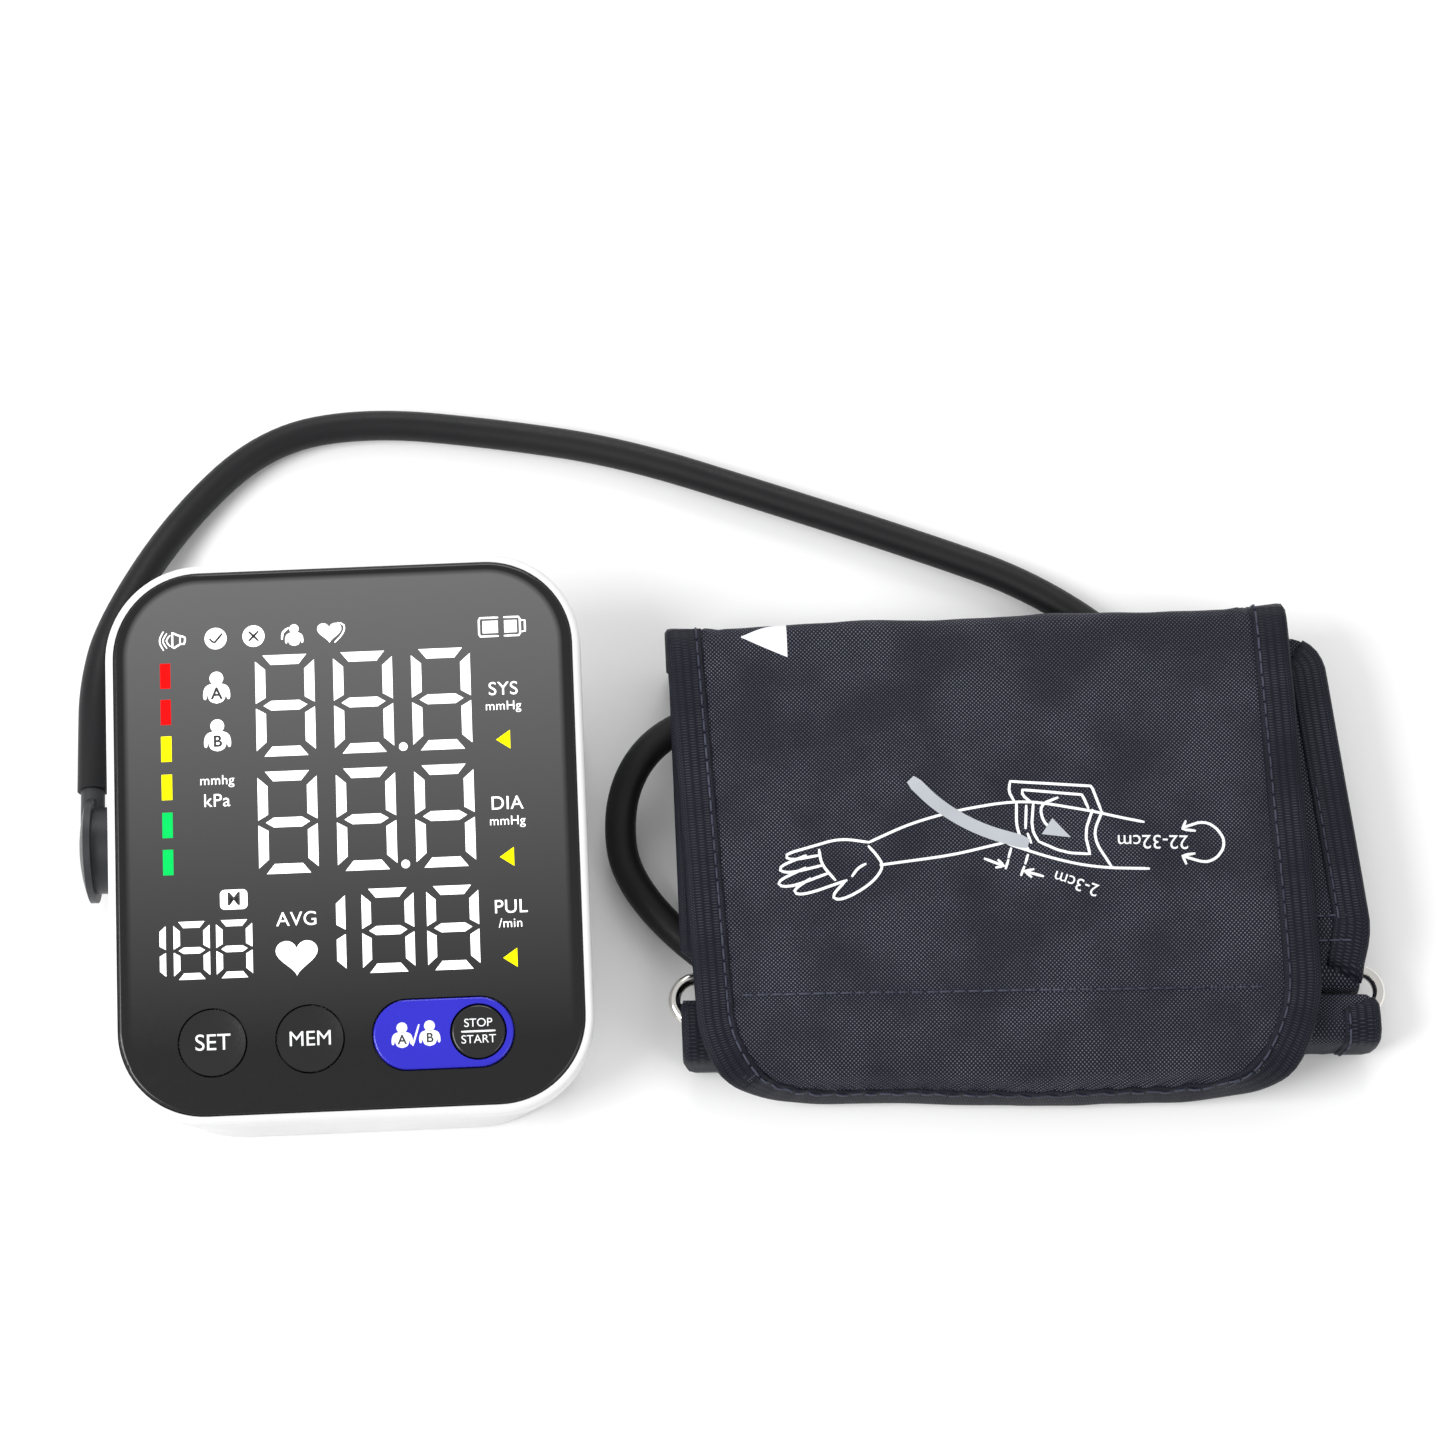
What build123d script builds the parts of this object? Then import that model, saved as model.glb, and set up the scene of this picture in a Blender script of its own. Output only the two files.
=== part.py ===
from build123d import *
import math
import os

# Upper arm blood pressure monitor with its folded cuff and air hose, in millimetres.
# Origin: centre of the monitor's base, on the table. +X runs across the monitor towards the
# cuff, +Y towards the top of the display, +Z up. "Face frame" values are measured on the
# sloping front face: x across, y up the face, z out of it, with 0 at the panel's surface.

# ---- driving dimensions: monitor ----
FACE_TILT = 8.0
FACE_HEIGHT = 32.0
PANEL_SIZE = (101.5, 121.0)
PANEL_CORNER = 19.0
PANEL_THICK = 2.0
BEZEL_SIZE = (105.4, 125.0)
BEZEL_CORNER = 21.0
BEZEL_DEPTH = 7.0
LIP_DROP = 0.5
ADHESIVE_THICK = 0.2
DECK_THICK = 1.4
WALL = 2.2
DECK_TOP = PANEL_THICK + ADHESIVE_THICK
DECK_BOTTOM = DECK_TOP + DECK_THICK
SHELL_BASE = (101.2, 120.0)
SHELL_CENTRE_Y = 0.8
SHELL_CORNER = 25.0
SHELL_FLARE = 2.0
FLOOR_THICK = 2.0
BOARD_TOP = 8.6
BOARD_THICK = 1.6
BOARD_SIZE = (62.0, 106.0)
DISPLAY = (-43.0, 40.0, -32.5, 49.0)

# ---- driving dimensions: keys, in the face frame ----
KEY_Y = -44.7
SET_X = -30.3
MEM_X = -9.1
START_X = 27.5
USER_X = 19.9
ROUND_KEY_R = 7.3
START_KEY_R = 5.9
USER_KEY = (30.6, 15.3)
USER_SWITCH_X = 12.0
KEY_GAP = 0.3
STEM_END = 4.9
FLANGE_TOP = 3.8
FLANGE_THICK = 1.0
FLANGE_REACH = 1.0
PLUNGER_R = 1.7

# ---- driving dimensions: screws, batteries, air path ----
SCREW_SPOTS = [(-42.0, -44.0), (42.0, -44.0), (-35.0, 53.0), (35.0, 53.0)]
BOARD_SCREWS = [(-20.0, 51.4), (20.0, 51.4), (-19.7, -35.1)]
SCREW_R = 1.3
SCREW_HEAD_R = 2.4
SCREW_GRIP = 6.0
BOSS_R = 3.5
BATTERY_R = 5.2
BATTERY_LENGTH = 43.6
BATTERY_PITCH = 10.7
BATTERY_ROWS = 4
BAY_X = 26.8
BAY_Y = (-46.0, -2.8)
BAY_TOP = 12.9
DOOR_THICK = 1.5
DOOR_HINGE_X = (-14.0, 14.0)
JOINT_DROP = 7.5
SPEAKER_SPOT = (34.0, 14.0)
SPEAKER_R = 9.5
PLUG_Y = 4.6
PLUG_Z = 14.5
PLUG_CAP_R = 11.7
NOZZLE_R = 2.9
USB_X = 24.0
SOCKET_BORE_R = 3.2

# ---- driving dimensions: hose ----
HOSE_R = 3.5
HOSE_REST_Z = 3.6
HOSE_ARC_SHARE = 0.45
HOSE_X = -58.3
HOSE_START_Y = 18.7
HOSE_SPLIT_Y = 30.0
SPLIT_GAP = 0.3
HOSE_ROUTE = [
    (HOSE_X, HOSE_SPLIT_Y + SPLIT_GAP, 14.4),
    (HOSE_X, 44.0, 13.6),
    (-55.4, 60.5, 9.4),
    (-40.5, 88.3, HOSE_REST_Z),
    (-20.1, 107.9, HOSE_REST_Z),
    (4.0, 111.8, HOSE_REST_Z),
    (35.4, 107.2, HOSE_REST_Z),
    (63.5, 101.3, HOSE_REST_Z),
    (98.0, 88.0, HOSE_REST_Z),
    (131.0, 74.9, HOSE_REST_Z),
    (158.0, 63.2, HOSE_REST_Z),
    (181.0, 44.0, HOSE_REST_Z),
    (193.0, 17.0, HOSE_REST_Z),
    (186.0, -10.0, HOSE_REST_Z),
    (163.0, -26.0, HOSE_REST_Z),
    (134.0, -34.0, HOSE_REST_Z),
    (106.0, -36.0, HOSE_REST_Z),
    (82.0, -28.0, HOSE_REST_Z),
    (60.6, -5.6, 4.4),
    (59.2, 11.6, 8.8),
    (65.6, 24.2, 12.4),
    (78.4, 31.0, 13.8),
    (92.0, 31.0, 13.8),
]

# ---- driving dimensions: cuff ----
CLOTH = 2.2
FLAP_OUTLINE = [(72.0, 49.0), (75.2, -59.8), (213.3, -59.8), (211.3, 49.0)]
FLAP_CORNER = 22.0
FLAP_PATH = [(46.4, 24.6), (37.0, 24.6), (-29.0, 22.4), (-45.0, 19.0), (-55.0, 16.8), (-57.8, 3.0)]
FLAP_BEND = 2.5
BINDING_WIDTH = 7.7
BINDING_THICK = 0.5
HOOK_THICK = 1.0
LOOP_LEFT = 73.5
LOOP_RIGHT_FAR = 221.4
LOOP_RIGHT_NEAR = 225.0
FOLD_LEFT = 71.6
FOLD_RIGHT = 226.2
BACK_Z = (7.6, 9.8)
LOWER_Z = (10.2, 17.4)
RING_LAYER_Z = 18.8
BLADDER_X = (98.0, 206.0)
BLADDER_Y = (-20.0, 34.0)
BLADDER_Z = (12.5, 15.1)
RING_CENTRE = (148.5, -37.0, 10.6)
RING_LENGTH = 159.2
RING_WIDTH = 12.5
RING_TURN = -1.69
WIRE_R = 1.4
SLEEVE_R = 3.3
SLEEVE_LENGTH = 138.0

FACE = Location((0, 0, FACE_HEIGHT), (FACE_TILT, 0, 0))
RING_PLACE = Location(RING_CENTRE, (0, 0, RING_TURN))


# ---- helpers ----
def block(x0, x1, y0, y1, z0, z1):
    """Box between two corners."""
    centre = Pos((x0 + x1) / 2, (y0 + y1) / 2, (z0 + z1) / 2)
    return centre * Box(x1 - x0, y1 - y0, z1 - z0)


def post(x, y, z0, z1, radius):
    """Upright cylinder."""
    return Pos(x, y, (z0 + z1) / 2) * Cylinder(radius, z1 - z0)


def rod_x(x0, x1, y, z, radius):
    """Cylinder along X."""
    return Pos((x0 + x1) / 2, y, z) * Rot(0, 90, 0) * Cylinder(radius, x1 - x0)


def rod_y(x, y0, y1, z, radius):
    """Cylinder along Y."""
    return Pos(x, (y0 + y1) / 2, z) * Rot(90, 0, 0) * Cylinder(radius, y1 - y0)


def plate(width, height, corner, z0, z1):
    """Rounded plate centred on Z."""
    return Pos(0, 0, z0) * extrude(RectangleRounded(width, height, corner), z1 - z0)


def ribbon(path, thickness, x0, x1, bend=0.0):
    """Layer of cloth: a path of (y, z) points, thickened and drawn out along X."""
    points = [(x0, y, z) for y, z in path]
    if bend and len(points) > 2:
        line = FilletPolyline(*points, radius=bend)
    else:
        line = Polyline(*points)
    start = Vector(*points[0])
    along = (Vector(*points[1]) - start).normalized()
    strip = Plane(origin=start, x_dir=(1, 0, 0), z_dir=along)
    width = x1 - x0
    section = strip * Pos(width / 2, 0) * Rectangle(width, thickness)
    return sweep(section, path=line, transition=Transition.RIGHT)


def prism(outline, z0, z1):
    """Flat outline drawn out upwards."""
    return Pos(0, 0, z0) * extrude(Polygon(*outline, align=None), z1 - z0)


def group(shapes):
    return Compound(children=list(shapes))


# ---- monitor: casing ----
def front_panel():
    panel = plate(*PANEL_SIZE, PANEL_CORNER, -PANEL_THICK, 0)
    panel = fillet(panel.faces().sort_by(Axis.Z)[-1].edges(), 0.8)
    for x in (SET_X, MEM_X):
        panel -= post(x, KEY_Y, -PANEL_THICK - 1, 1, ROUND_KEY_R + KEY_GAP)
    slot = RectangleRounded(USER_KEY[0] + 2 * KEY_GAP, USER_KEY[1] + 2 * KEY_GAP, USER_KEY[1] / 2)
    panel -= Pos(USER_X, KEY_Y, -PANEL_THICK - 1) * extrude(slot, PANEL_THICK + 2)
    return FACE * panel


def panel_adhesive():
    tape = plate(PANEL_SIZE[0] - 1, PANEL_SIZE[1] - 1, PANEL_CORNER - 0.5, -DECK_TOP, -PANEL_THICK)
    hole = plate(PANEL_SIZE[0] - 9, PANEL_SIZE[1] - 9, PANEL_CORNER - 4.5, -DECK_TOP - 1, 0)
    return FACE * (tape - hole)


def key_holes(z0, z1):
    """Clearance through the deck for the stem of every key."""
    holes = [post(x, KEY_Y, z0, z1, ROUND_KEY_R + KEY_GAP) for x in (SET_X, MEM_X)]
    slot = RectangleRounded(USER_KEY[0] + 2 * KEY_GAP, USER_KEY[1] + 2 * KEY_GAP, USER_KEY[1] / 2)
    holes.append(Pos(USER_X, KEY_Y, z0) * extrude(slot, z1 - z0))
    return holes


def deck_height(y):
    """Height above the table of the deck's underside at a given Y."""
    tilt = math.radians(FACE_TILT)
    return FACE_HEIGHT + y * math.tan(tilt) - DECK_BOTTOM / math.cos(tilt)


def joint_height(y):
    """Height at which the rear boss and the front boss meet."""
    return deck_height(y) - JOINT_DROP


def front_bezel():
    width, height = BEZEL_SIZE
    bezel = plate(width, height, BEZEL_CORNER, -BEZEL_DEPTH, -LIP_DROP)
    bezel = fillet(bezel.faces().sort_by(Axis.Z)[-1].edges(), 1.1)
    bezel -= plate(PANEL_SIZE[0] + 0.4, PANEL_SIZE[1] + 0.4, PANEL_CORNER + 0.2, -DECK_TOP, 1)
    inner = (width - 2 * WALL, height - 2 * WALL, BEZEL_CORNER - WALL)
    bezel -= plate(*inner, -BEZEL_DEPTH - 1, -DECK_BOTTOM)
    x0, x1, y0, y1 = DISPLAY
    bezel -= block(x0 - 0.3, x1 + 0.3, y0 - 0.3, y1 + 0.3, -DECK_BOTTOM - 1, 0)
    for hole in key_holes(-DECK_BOTTOM - 1, 0):
        bezel -= hole
    for x, y in BOARD_SCREWS:
        bezel += post(x, y, -BOARD_TOP, -DECK_BOTTOM + 0.4, 2.2)
        bezel -= post(x, y, -BOARD_TOP - 1, -DECK_BOTTOM - 0.4, 1.05)
    bezel = FACE * bezel
    for x, y in SCREW_SPOTS:
        low = joint_height(y)
        bezel += post(x, y, low, deck_height(y) + 0.7, BOSS_R - 0.5)
        bezel -= post(x, y, low - 1, low + SCREW_GRIP + 0.3, SCREW_R + 0.05)
    return bezel


def flared_shell(inset, z0):
    """Rear shell's outer or inner form, wider at the top, cut off under the front bezel."""
    width = SHELL_BASE[0] - 2 * inset
    height = SHELL_BASE[1] - 2 * inset
    base = RectangleRounded(width, height, SHELL_CORNER - inset)
    form = Pos(0, SHELL_CENTRE_Y, z0) * extrude(base, FACE_HEIGHT + 12 - z0, taper=-SHELL_FLARE)
    if inset == 0:
        form = fillet(form.faces().sort_by(Axis.Z)[0].edges(), 1.6)
    above = FACE * block(-90, 90, -90, 90, -BEZEL_DEPTH, 60)
    return form - above


def pad_places():
    return [(-38, -34.0), (38, -34.0), (-38, 34.0), (38, 34.0)]


def rear_shell():
    shell = flared_shell(0, 0) - flared_shell(WALL, FLOOR_THICK)
    shell += block(-BAY_X - 1.4, BAY_X + 1.4, BAY_Y[0] - 1.3, BAY_Y[1] + 1.3, 0, BAY_TOP + 0.8)
    for x, y in SCREW_SPOTS:
        shell += post(x, y, 0, joint_height(y), BOSS_R)
    shell -= block(-BAY_X, BAY_X, *BAY_Y, DOOR_THICK + 0.1, BAY_TOP)
    shell -= block(-BAY_X - 0.5, BAY_X + 0.5, BAY_Y[0] - 0.5, BAY_Y[1] + 0.5, -1, DOOR_THICK + 0.2)
    for x in DOOR_HINGE_X:
        shell -= block(x - 3.4, x + 3.4, BAY_Y[1], BAY_Y[1] + 2.3, 0.7, 3.4)
    shell -= block(-5, 5, BAY_Y[0] - 1.9, BAY_Y[0], -1, 1.2)
    for x, y in SCREW_SPOTS:
        seat = joint_height(y) - SCREW_GRIP
        shell -= post(x, y, -1, seat, SCREW_HEAD_R + 0.2)
        shell -= post(x, y, seat - 1, joint_height(y) + 1, SCREW_R + 0.05)
    for x, y in pad_places():
        shell -= post(x, y, -1, 1.0, 5.1)
    shell -= rod_x(-60, -40, PLUG_Y, PLUG_Z, 5.1)
    shell += block(USB_X - 5.5, USB_X + 5.5, 55.5, 59.0, FLOOR_THICK - 0.5, 8.3)
    shell -= block(USB_X - 4.6, USB_X + 4.6, 50, 70, 8.3, 11.6)
    x, y = SPEAKER_SPOT
    for step in (-6, -3, 0, 3, 6):
        slit = extrude(SlotOverall(14 - abs(step), 1.2), 2 * FLOOR_THICK, both=True)
        shell -= Pos(x, y + step, 0) * slit
    return shell


def rubber_pads():
    return group(post(x, y, 0, 1.0, 5.0) for x, y in pad_places())


def case_screws():
    screws = []
    for x, y in SCREW_SPOTS:
        seat = joint_height(y) - SCREW_GRIP
        screw = post(x, y, seat - 1.8, seat, SCREW_HEAD_R)
        screw += post(x, y, seat, seat + 2 * SCREW_GRIP, SCREW_R)
        screw -= block(x - 0.35, x + 0.35, y - 1.4, y + 1.4, seat - 3, seat - 1.0)
        screw -= block(x - 1.4, x + 1.4, y - 0.35, y + 0.35, seat - 3, seat - 1.0)
        screws.append(screw)
    return group(screws)


# ---- monitor: keys and their switches ----
def round_key(x):
    key = post(x, KEY_Y, -STEM_END + 0.7, 0.3, ROUND_KEY_R)
    key = fillet(key.faces().sort_by(Axis.Z)[-1].edges(), 0.4)
    dish_radius = 42.0
    key -= Pos(x, KEY_Y, dish_radius - 0.45) * Sphere(dish_radius)
    key += post(x, KEY_Y, -FLANGE_TOP - FLANGE_THICK, -FLANGE_TOP, ROUND_KEY_R + FLANGE_REACH)
    key += post(x, KEY_Y, -STEM_END, -FLANGE_TOP, 2.0)
    return FACE * key


def user_button():
    width, height = USER_KEY
    key = extrude(RectangleRounded(width, height, height / 2 - 0.01), STEM_END + 0.5 - 0.3)
    key = fillet(key.faces().sort_by(Axis.Z)[-1].edges(), 0.5)
    key = Pos(0, 0, -STEM_END + 0.3) * key
    reach = 2 * FLANGE_REACH
    flange = RectangleRounded(width + reach, height + reach, (height + reach) / 2 - 0.01)
    key += Pos(0, 0, -FLANGE_TOP - FLANGE_THICK) * extrude(flange, FLANGE_THICK)
    key = Pos(USER_X, KEY_Y, 0) * key
    key -= post(START_X, KEY_Y, -9, 2, START_KEY_R + KEY_GAP)
    key += post(USER_SWITCH_X, KEY_Y, -STEM_END, -FLANGE_TOP, 2.0)
    return FACE * key


def start_button():
    key = post(START_X, KEY_Y, -STEM_END, 0.7, START_KEY_R)
    key = fillet(key.faces().sort_by(Axis.Z)[-1].edges(), 0.6)
    return FACE * key


def plunger(x):
    return FACE * post(x, KEY_Y, -7.2, -STEM_END, PLUNGER_R)


SWITCH_XS = (SET_X, MEM_X, USER_SWITCH_X, START_X)


def tact_switches():
    switches = []
    for x in SWITCH_XS:
        switch = block(x - 3, x + 3, KEY_Y - 3, KEY_Y + 3, -BOARD_TOP, -6.0)
        switch -= post(x, KEY_Y, -7.9, 0, PLUNGER_R + 0.1)
        switches.append(switch)
    return FACE * group(switches)


# ---- monitor: display and boards ----
def digit_cells():
    """Window of every digit: left x, bottom y, width, height."""
    cells = []
    for low, height in ((18.3, 22.8), (-8.0, 23.0)):
        cells += [(-19.4 + 17.26 * i, low, 13.05, height) for i in range(3)]
    cells += [(-3.4, -30.8, 2.6, 18.6), (2.7, -30.8, 11.5, 18.6), (17.0, -30.8, 11.5, 18.6)]
    cells += [(-41.6, -30.6, 1.8, 12.9), (-38.3, -30.6, 7.7, 12.9), (-28.9, -30.6, 7.7, 12.9)]
    return cells


def display_reflector():
    x0, x1, y0, y1 = DISPLAY
    body = block(x0, x1, y0, y1, -BOARD_TOP, -DECK_TOP)
    for x, y, width, height in digit_cells():
        body -= block(x, x + width, y, y + height, -BOARD_TOP + 0.8, 0)
    return FACE * body


def display_diffuser():
    x0, x1, y0, y1 = DISPLAY
    return FACE * block(x0, x1, y0, y1, -DECK_TOP, -PANEL_THICK)


def led_chips():
    chips = []
    for x, y, width, height in digit_cells():
        for row in (0.1, 0.3, 0.5, 0.7, 0.9):
            cx = x + width / 2
            cy = y + height * row
            chip = block(cx - 0.7, cx + 0.7, cy - 0.4, cy + 0.4, -BOARD_TOP + 0.8, -BOARD_TOP + 1.4)
            chips.append(chip)
    return FACE * group(chips)


def main_board():
    width, height = BOARD_SIZE
    board = plate(width, height, 2.0, -BOARD_TOP - BOARD_THICK, -BOARD_TOP)
    x0, x1, y0, y1 = DISPLAY
    board += block(x0, x1, y0 + 2, y1 - 2, -BOARD_TOP - BOARD_THICK, -BOARD_TOP)
    board += block(-36, 36, -height / 2, y0 + 2, -BOARD_TOP - BOARD_THICK, -BOARD_TOP)
    for x, y in BOARD_SCREWS:
        board -= post(x, y, -BOARD_TOP - BOARD_THICK - 1, -BOARD_TOP + 1, 1.1)
    return FACE * board


def board_screws():
    screws = []
    for x, y in BOARD_SCREWS:
        under = -BOARD_TOP - BOARD_THICK
        screw = post(x, y, under - 1.2, under, 1.9)
        screw += post(x, y, under, -BOARD_TOP + 4.2, 1.0)
        screws.append(screw)
    return FACE * group(screws)


def processor_chip():
    under = -BOARD_TOP - BOARD_THICK
    return FACE * block(4, 16, 2, 14, under - 1.4, under)


def pressure_sensor():
    under = -BOARD_TOP - BOARD_THICK
    y = 26.2
    body = block(TEE_X - 4, TEE_X + 4, y - 4, y + 4, under - 3.6, under)
    body += post(TEE_X, y, under - 6.6, under - 3.6, 1.6)
    return FACE * body


# ---- monitor: air path ----
MOTOR_Y = 46.0
MOTOR_Z = FLOOR_THICK + 10.6
TEE_X = -12.0
TEE_Y = 28.0
TEE_Z = 10.0


def pump_motor():
    motor = rod_x(-3, 17, MOTOR_Y, MOTOR_Z, 9.0)
    motor += rod_x(17, 18.8, MOTOR_Y, MOTOR_Z, 3.4)
    return motor


def pump_head():
    head = block(-22, -3, MOTOR_Y - 9.5, MOTOR_Y + 9.5, MOTOR_Z - 9.5, MOTOR_Z + 8.5)
    head = fillet(head.edges().filter_by(Axis.X), 2.0)
    head += rod_y(TEE_X, 33, MOTOR_Y - 9.5, TEE_Z, 2.0)
    return head


def pump_foam():
    foam = block(-1, 15, MOTOR_Y - 8, MOTOR_Y + 8, FLOOR_THICK, MOTOR_Z)
    return foam - rod_x(-3, 17, MOTOR_Y, MOTOR_Z, 9.0)


def exhaust_valve():
    body = block(24, 37, 26, 38, FLOOR_THICK, FLOOR_THICK + 12)
    body += rod_x(19, 24, 32, FLOOR_THICK + 6, 2.0)
    return body


def air_tee():
    tee = rod_x(TEE_X - 9, TEE_X + 9, TEE_Y, TEE_Z, 2.0)
    tee += block(TEE_X - 2.6, TEE_X + 2.6, TEE_Y - 2.4, TEE_Y + 2.2, TEE_Z - 2.4, TEE_Z + 2.2)
    tee += rod_y(TEE_X, TEE_Y + 1, 32.5, TEE_Z, 1.9)
    tee += post(TEE_X, TEE_Y, TEE_Z + 1, TEE_Z + 5, 1.8)
    return tee


def soft_tube(points, outer=3.2, bore=2.1, bend=4.0):
    """Short silicone tube pushed over two barbs."""
    line = FilletPolyline(*points, radius=bend)
    start = Vector(*points[0])
    end_plane = Plane(origin=start, z_dir=Vector(*points[1]) - start)
    solid = sweep(end_plane * Circle(outer), path=line)
    return solid - sweep(end_plane * Circle(bore), path=line)


def air_tubes():
    valve_z = FLOOR_THICK + 6
    to_socket = [
        (-36.5, PLUG_Y, PLUG_Z),
        (-26.0, PLUG_Y, PLUG_Z),
        (-26.0, TEE_Y, TEE_Z),
        (TEE_X - 5, TEE_Y, TEE_Z),
    ]
    to_valve = [
        (TEE_X + 4, TEE_Y, TEE_Z),
        (5.0, TEE_Y, TEE_Z),
        (11.0, 32.0, valve_z),
        (23.0, 32.0, valve_z),
    ]
    to_pump = rod_y(TEE_X, TEE_Y + 2.3, MOTOR_Y - 9.8, TEE_Z, 3.2)
    to_pump -= rod_y(TEE_X, TEE_Y, MOTOR_Y, TEE_Z, 2.1)
    to_sensor = post(TEE_X, TEE_Y, TEE_Z + 2.3, 20.4, 3.0)
    to_sensor -= post(TEE_X, TEE_Y, TEE_Z, 22, 2.1)
    return group([soft_tube(to_socket), soft_tube(to_valve), to_pump, to_sensor])


def air_socket():
    socket = rod_x(-51.6, -38, PLUG_Y, PLUG_Z, 5.0)
    socket += rod_x(-47.9, -46.7, PLUG_Y, PLUG_Z, 7.0)
    socket += rod_x(-38, -31, PLUG_Y, PLUG_Z, 2.0)
    socket -= rod_x(-52, -41, PLUG_Y, PLUG_Z, SOCKET_BORE_R)
    socket -= rod_x(-42, -30, PLUG_Y, PLUG_Z, 1.0)
    return socket


def speaker():
    x, y = SPEAKER_SPOT
    cone = post(x, y, FLOOR_THICK, FLOOR_THICK + 3, SPEAKER_R)
    magnet = post(x, y, FLOOR_THICK + 3, FLOOR_THICK + 6, 5.5)
    return cone + magnet - post(x, y, FLOOR_THICK - 1, FLOOR_THICK + 1.6, SPEAKER_R - 1.3)


def usb_port():
    shell = block(USB_X - 4.5, USB_X + 4.5, 54.0, 60.6, 8.3, 11.5)
    shell = fillet(shell.edges().filter_by(Axis.Y), 1.3)
    inside = block(USB_X - 4.0, USB_X + 4.0, 55.0, 62.0, 8.8, 11.0)
    tongue = block(USB_X - 3.3, USB_X + 3.3, 54.5, 59.0, 9.6, 10.2)
    return shell - inside + tongue


# ---- monitor: battery bay ----
def battery_rows():
    """Centre of every cell and the way its button end points."""
    middle = sum(BAY_Y) / 2
    rows = []
    for i in range(BATTERY_ROWS):
        y = middle + (i - (BATTERY_ROWS - 1) / 2) * BATTERY_PITCH
        rows.append((y, 1 if i % 2 else -1))
    return rows


CELL_Z = DOOR_THICK + 0.5 + BATTERY_R


def batteries():
    cells = []
    for y, way in battery_rows():
        half = BATTERY_LENGTH / 2
        shift = 1.4 * way
        cell = rod_x(shift - half, shift + half, y, CELL_Z, BATTERY_R)
        tip = sorted((shift + way * half, shift + way * (half + 1.0)))
        cell += rod_x(*tip, y, CELL_Z, 1.8)
        cells.append(cell)
    return group(cells)


def battery_springs():
    springs = []
    for y, way in battery_rows():
        turns = Helix(pitch=0.9, height=2.7, radius=2.4)
        coil = sweep(Plane.XZ * Pos(2.4, 0) * Circle(0.28), path=turns)
        face = 1.4 * way - way * BATTERY_LENGTH / 2
        springs.append(Pos(face - way * 0.35, y, CELL_Z) * Rot(0, -90 * way, 0) * coil)
    return group(springs)


def battery_plates():
    plates = []
    for y, way in battery_rows():
        for side in (-1, 1):
            face = side * (BAY_X - 0.4)
            x0, x1 = sorted((face, face + side * 0.3))
            plates.append(block(x0, x1, y - 3.6, y + 3.6, CELL_Z - 4.2, CELL_Z + 4.2))
    return group(plates)


def battery_door():
    """Cover with a rounded hinge edge; its two tabs sit in slots of the shell."""
    edge_r = DOOR_THICK / 2
    hinge_y = BAY_Y[1] + 0.2 - edge_r
    door = block(-BAY_X - 0.3, BAY_X + 0.3, BAY_Y[0] - 0.3, hinge_y, 0, DOOR_THICK)
    door += rod_x(-BAY_X - 0.3, BAY_X + 0.3, hinge_y, edge_r, edge_r)
    for x in DOOR_HINGE_X:
        door += block(x - 3, x + 3, hinge_y, BAY_Y[1] + 1.7, 0.9, DOOR_THICK)
    door += block(-4, 4, BAY_Y[0] - 1.6, BAY_Y[0], 0, 1.0)
    for i in range(5):
        y = BAY_Y[0] + 4 + 1.6 * i
        door -= block(-8, 8, y - 0.35, y + 0.35, -1, 0.4)
    return door


# ---- air plug ----
def plug_body():
    body = rod_x(-57.4, -52.6, PLUG_Y, PLUG_Z, 9.7)
    body += rod_x(-59.4, -57.4, PLUG_Y, PLUG_Z, 7.4)
    body += rod_x(-52.6, -43.6, PLUG_Y, PLUG_Z, NOZZLE_R)
    body += rod_y(HOSE_X, PLUG_Y, HOSE_START_Y, PLUG_Z, 2.7)
    groove = rod_x(-48.3, -46.9, PLUG_Y, PLUG_Z, NOZZLE_R + 1) - rod_x(-49, -46, PLUG_Y, PLUG_Z, 2.0)
    bore = rod_x(-57.0, -43, PLUG_Y, PLUG_Z, 1.2)
    return body - groove - bore


def plug_cap():
    rise = 2.0
    dome_radius = (PLUG_CAP_R ** 2 + rise ** 2) / (2 * rise)
    dome = rod_x(-61.0, -57.4, PLUG_Y, PLUG_Z, PLUG_CAP_R)
    dome = dome & (Pos(-60.9 + dome_radius, PLUG_Y, PLUG_Z) * Sphere(dome_radius))
    dome -= rod_x(-59.5, -57.0, PLUG_Y, PLUG_Z, 7.5)
    return dome - rod_y(HOSE_X, PLUG_Y, HOSE_START_Y, PLUG_Z, 2.8)


def plug_o_ring():
    return Pos(-47.6, PLUG_Y, PLUG_Z) * Rot(0, 90, 0) * Torus(2.6, 0.55)


# ---- hose ----
def hose_radii(route):
    """Arc at each inner point: as large as its two runs allow."""
    radii = []
    for a, b, c in zip(route, route[1:], route[2:]):
        first = Vector(*b) - Vector(*a)
        second = Vector(*c) - Vector(*b)
        turn = math.radians(first.get_angle(second))
        shorter = min(first.length, second.length)
        radii.append(HOSE_ARC_SHARE * shorter / math.tan(turn / 2))
    return radii


def hose_run():
    line = FilletPolyline(*HOSE_ROUTE, radius=hose_radii(HOSE_ROUTE))
    start = Vector(*HOSE_ROUTE[0])
    end_plane = Plane(origin=start, z_dir=Vector(*HOSE_ROUTE[1]) - start)
    tube = sweep(end_plane * Circle(HOSE_R), path=line)
    expected = math.pi * HOSE_R ** 2 * line.length
    print("hose arcs (mm):", [round(r, 1) for r in hose_radii(HOSE_ROUTE)])
    print("hose length", round(line.length, 1), "volume over section x length", round(tube.volume / expected, 4))
    return tube


def hose_plug_end():
    return rod_y(HOSE_X, HOSE_START_Y, HOSE_SPLIT_Y, PLUG_Z, HOSE_R)


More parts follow.
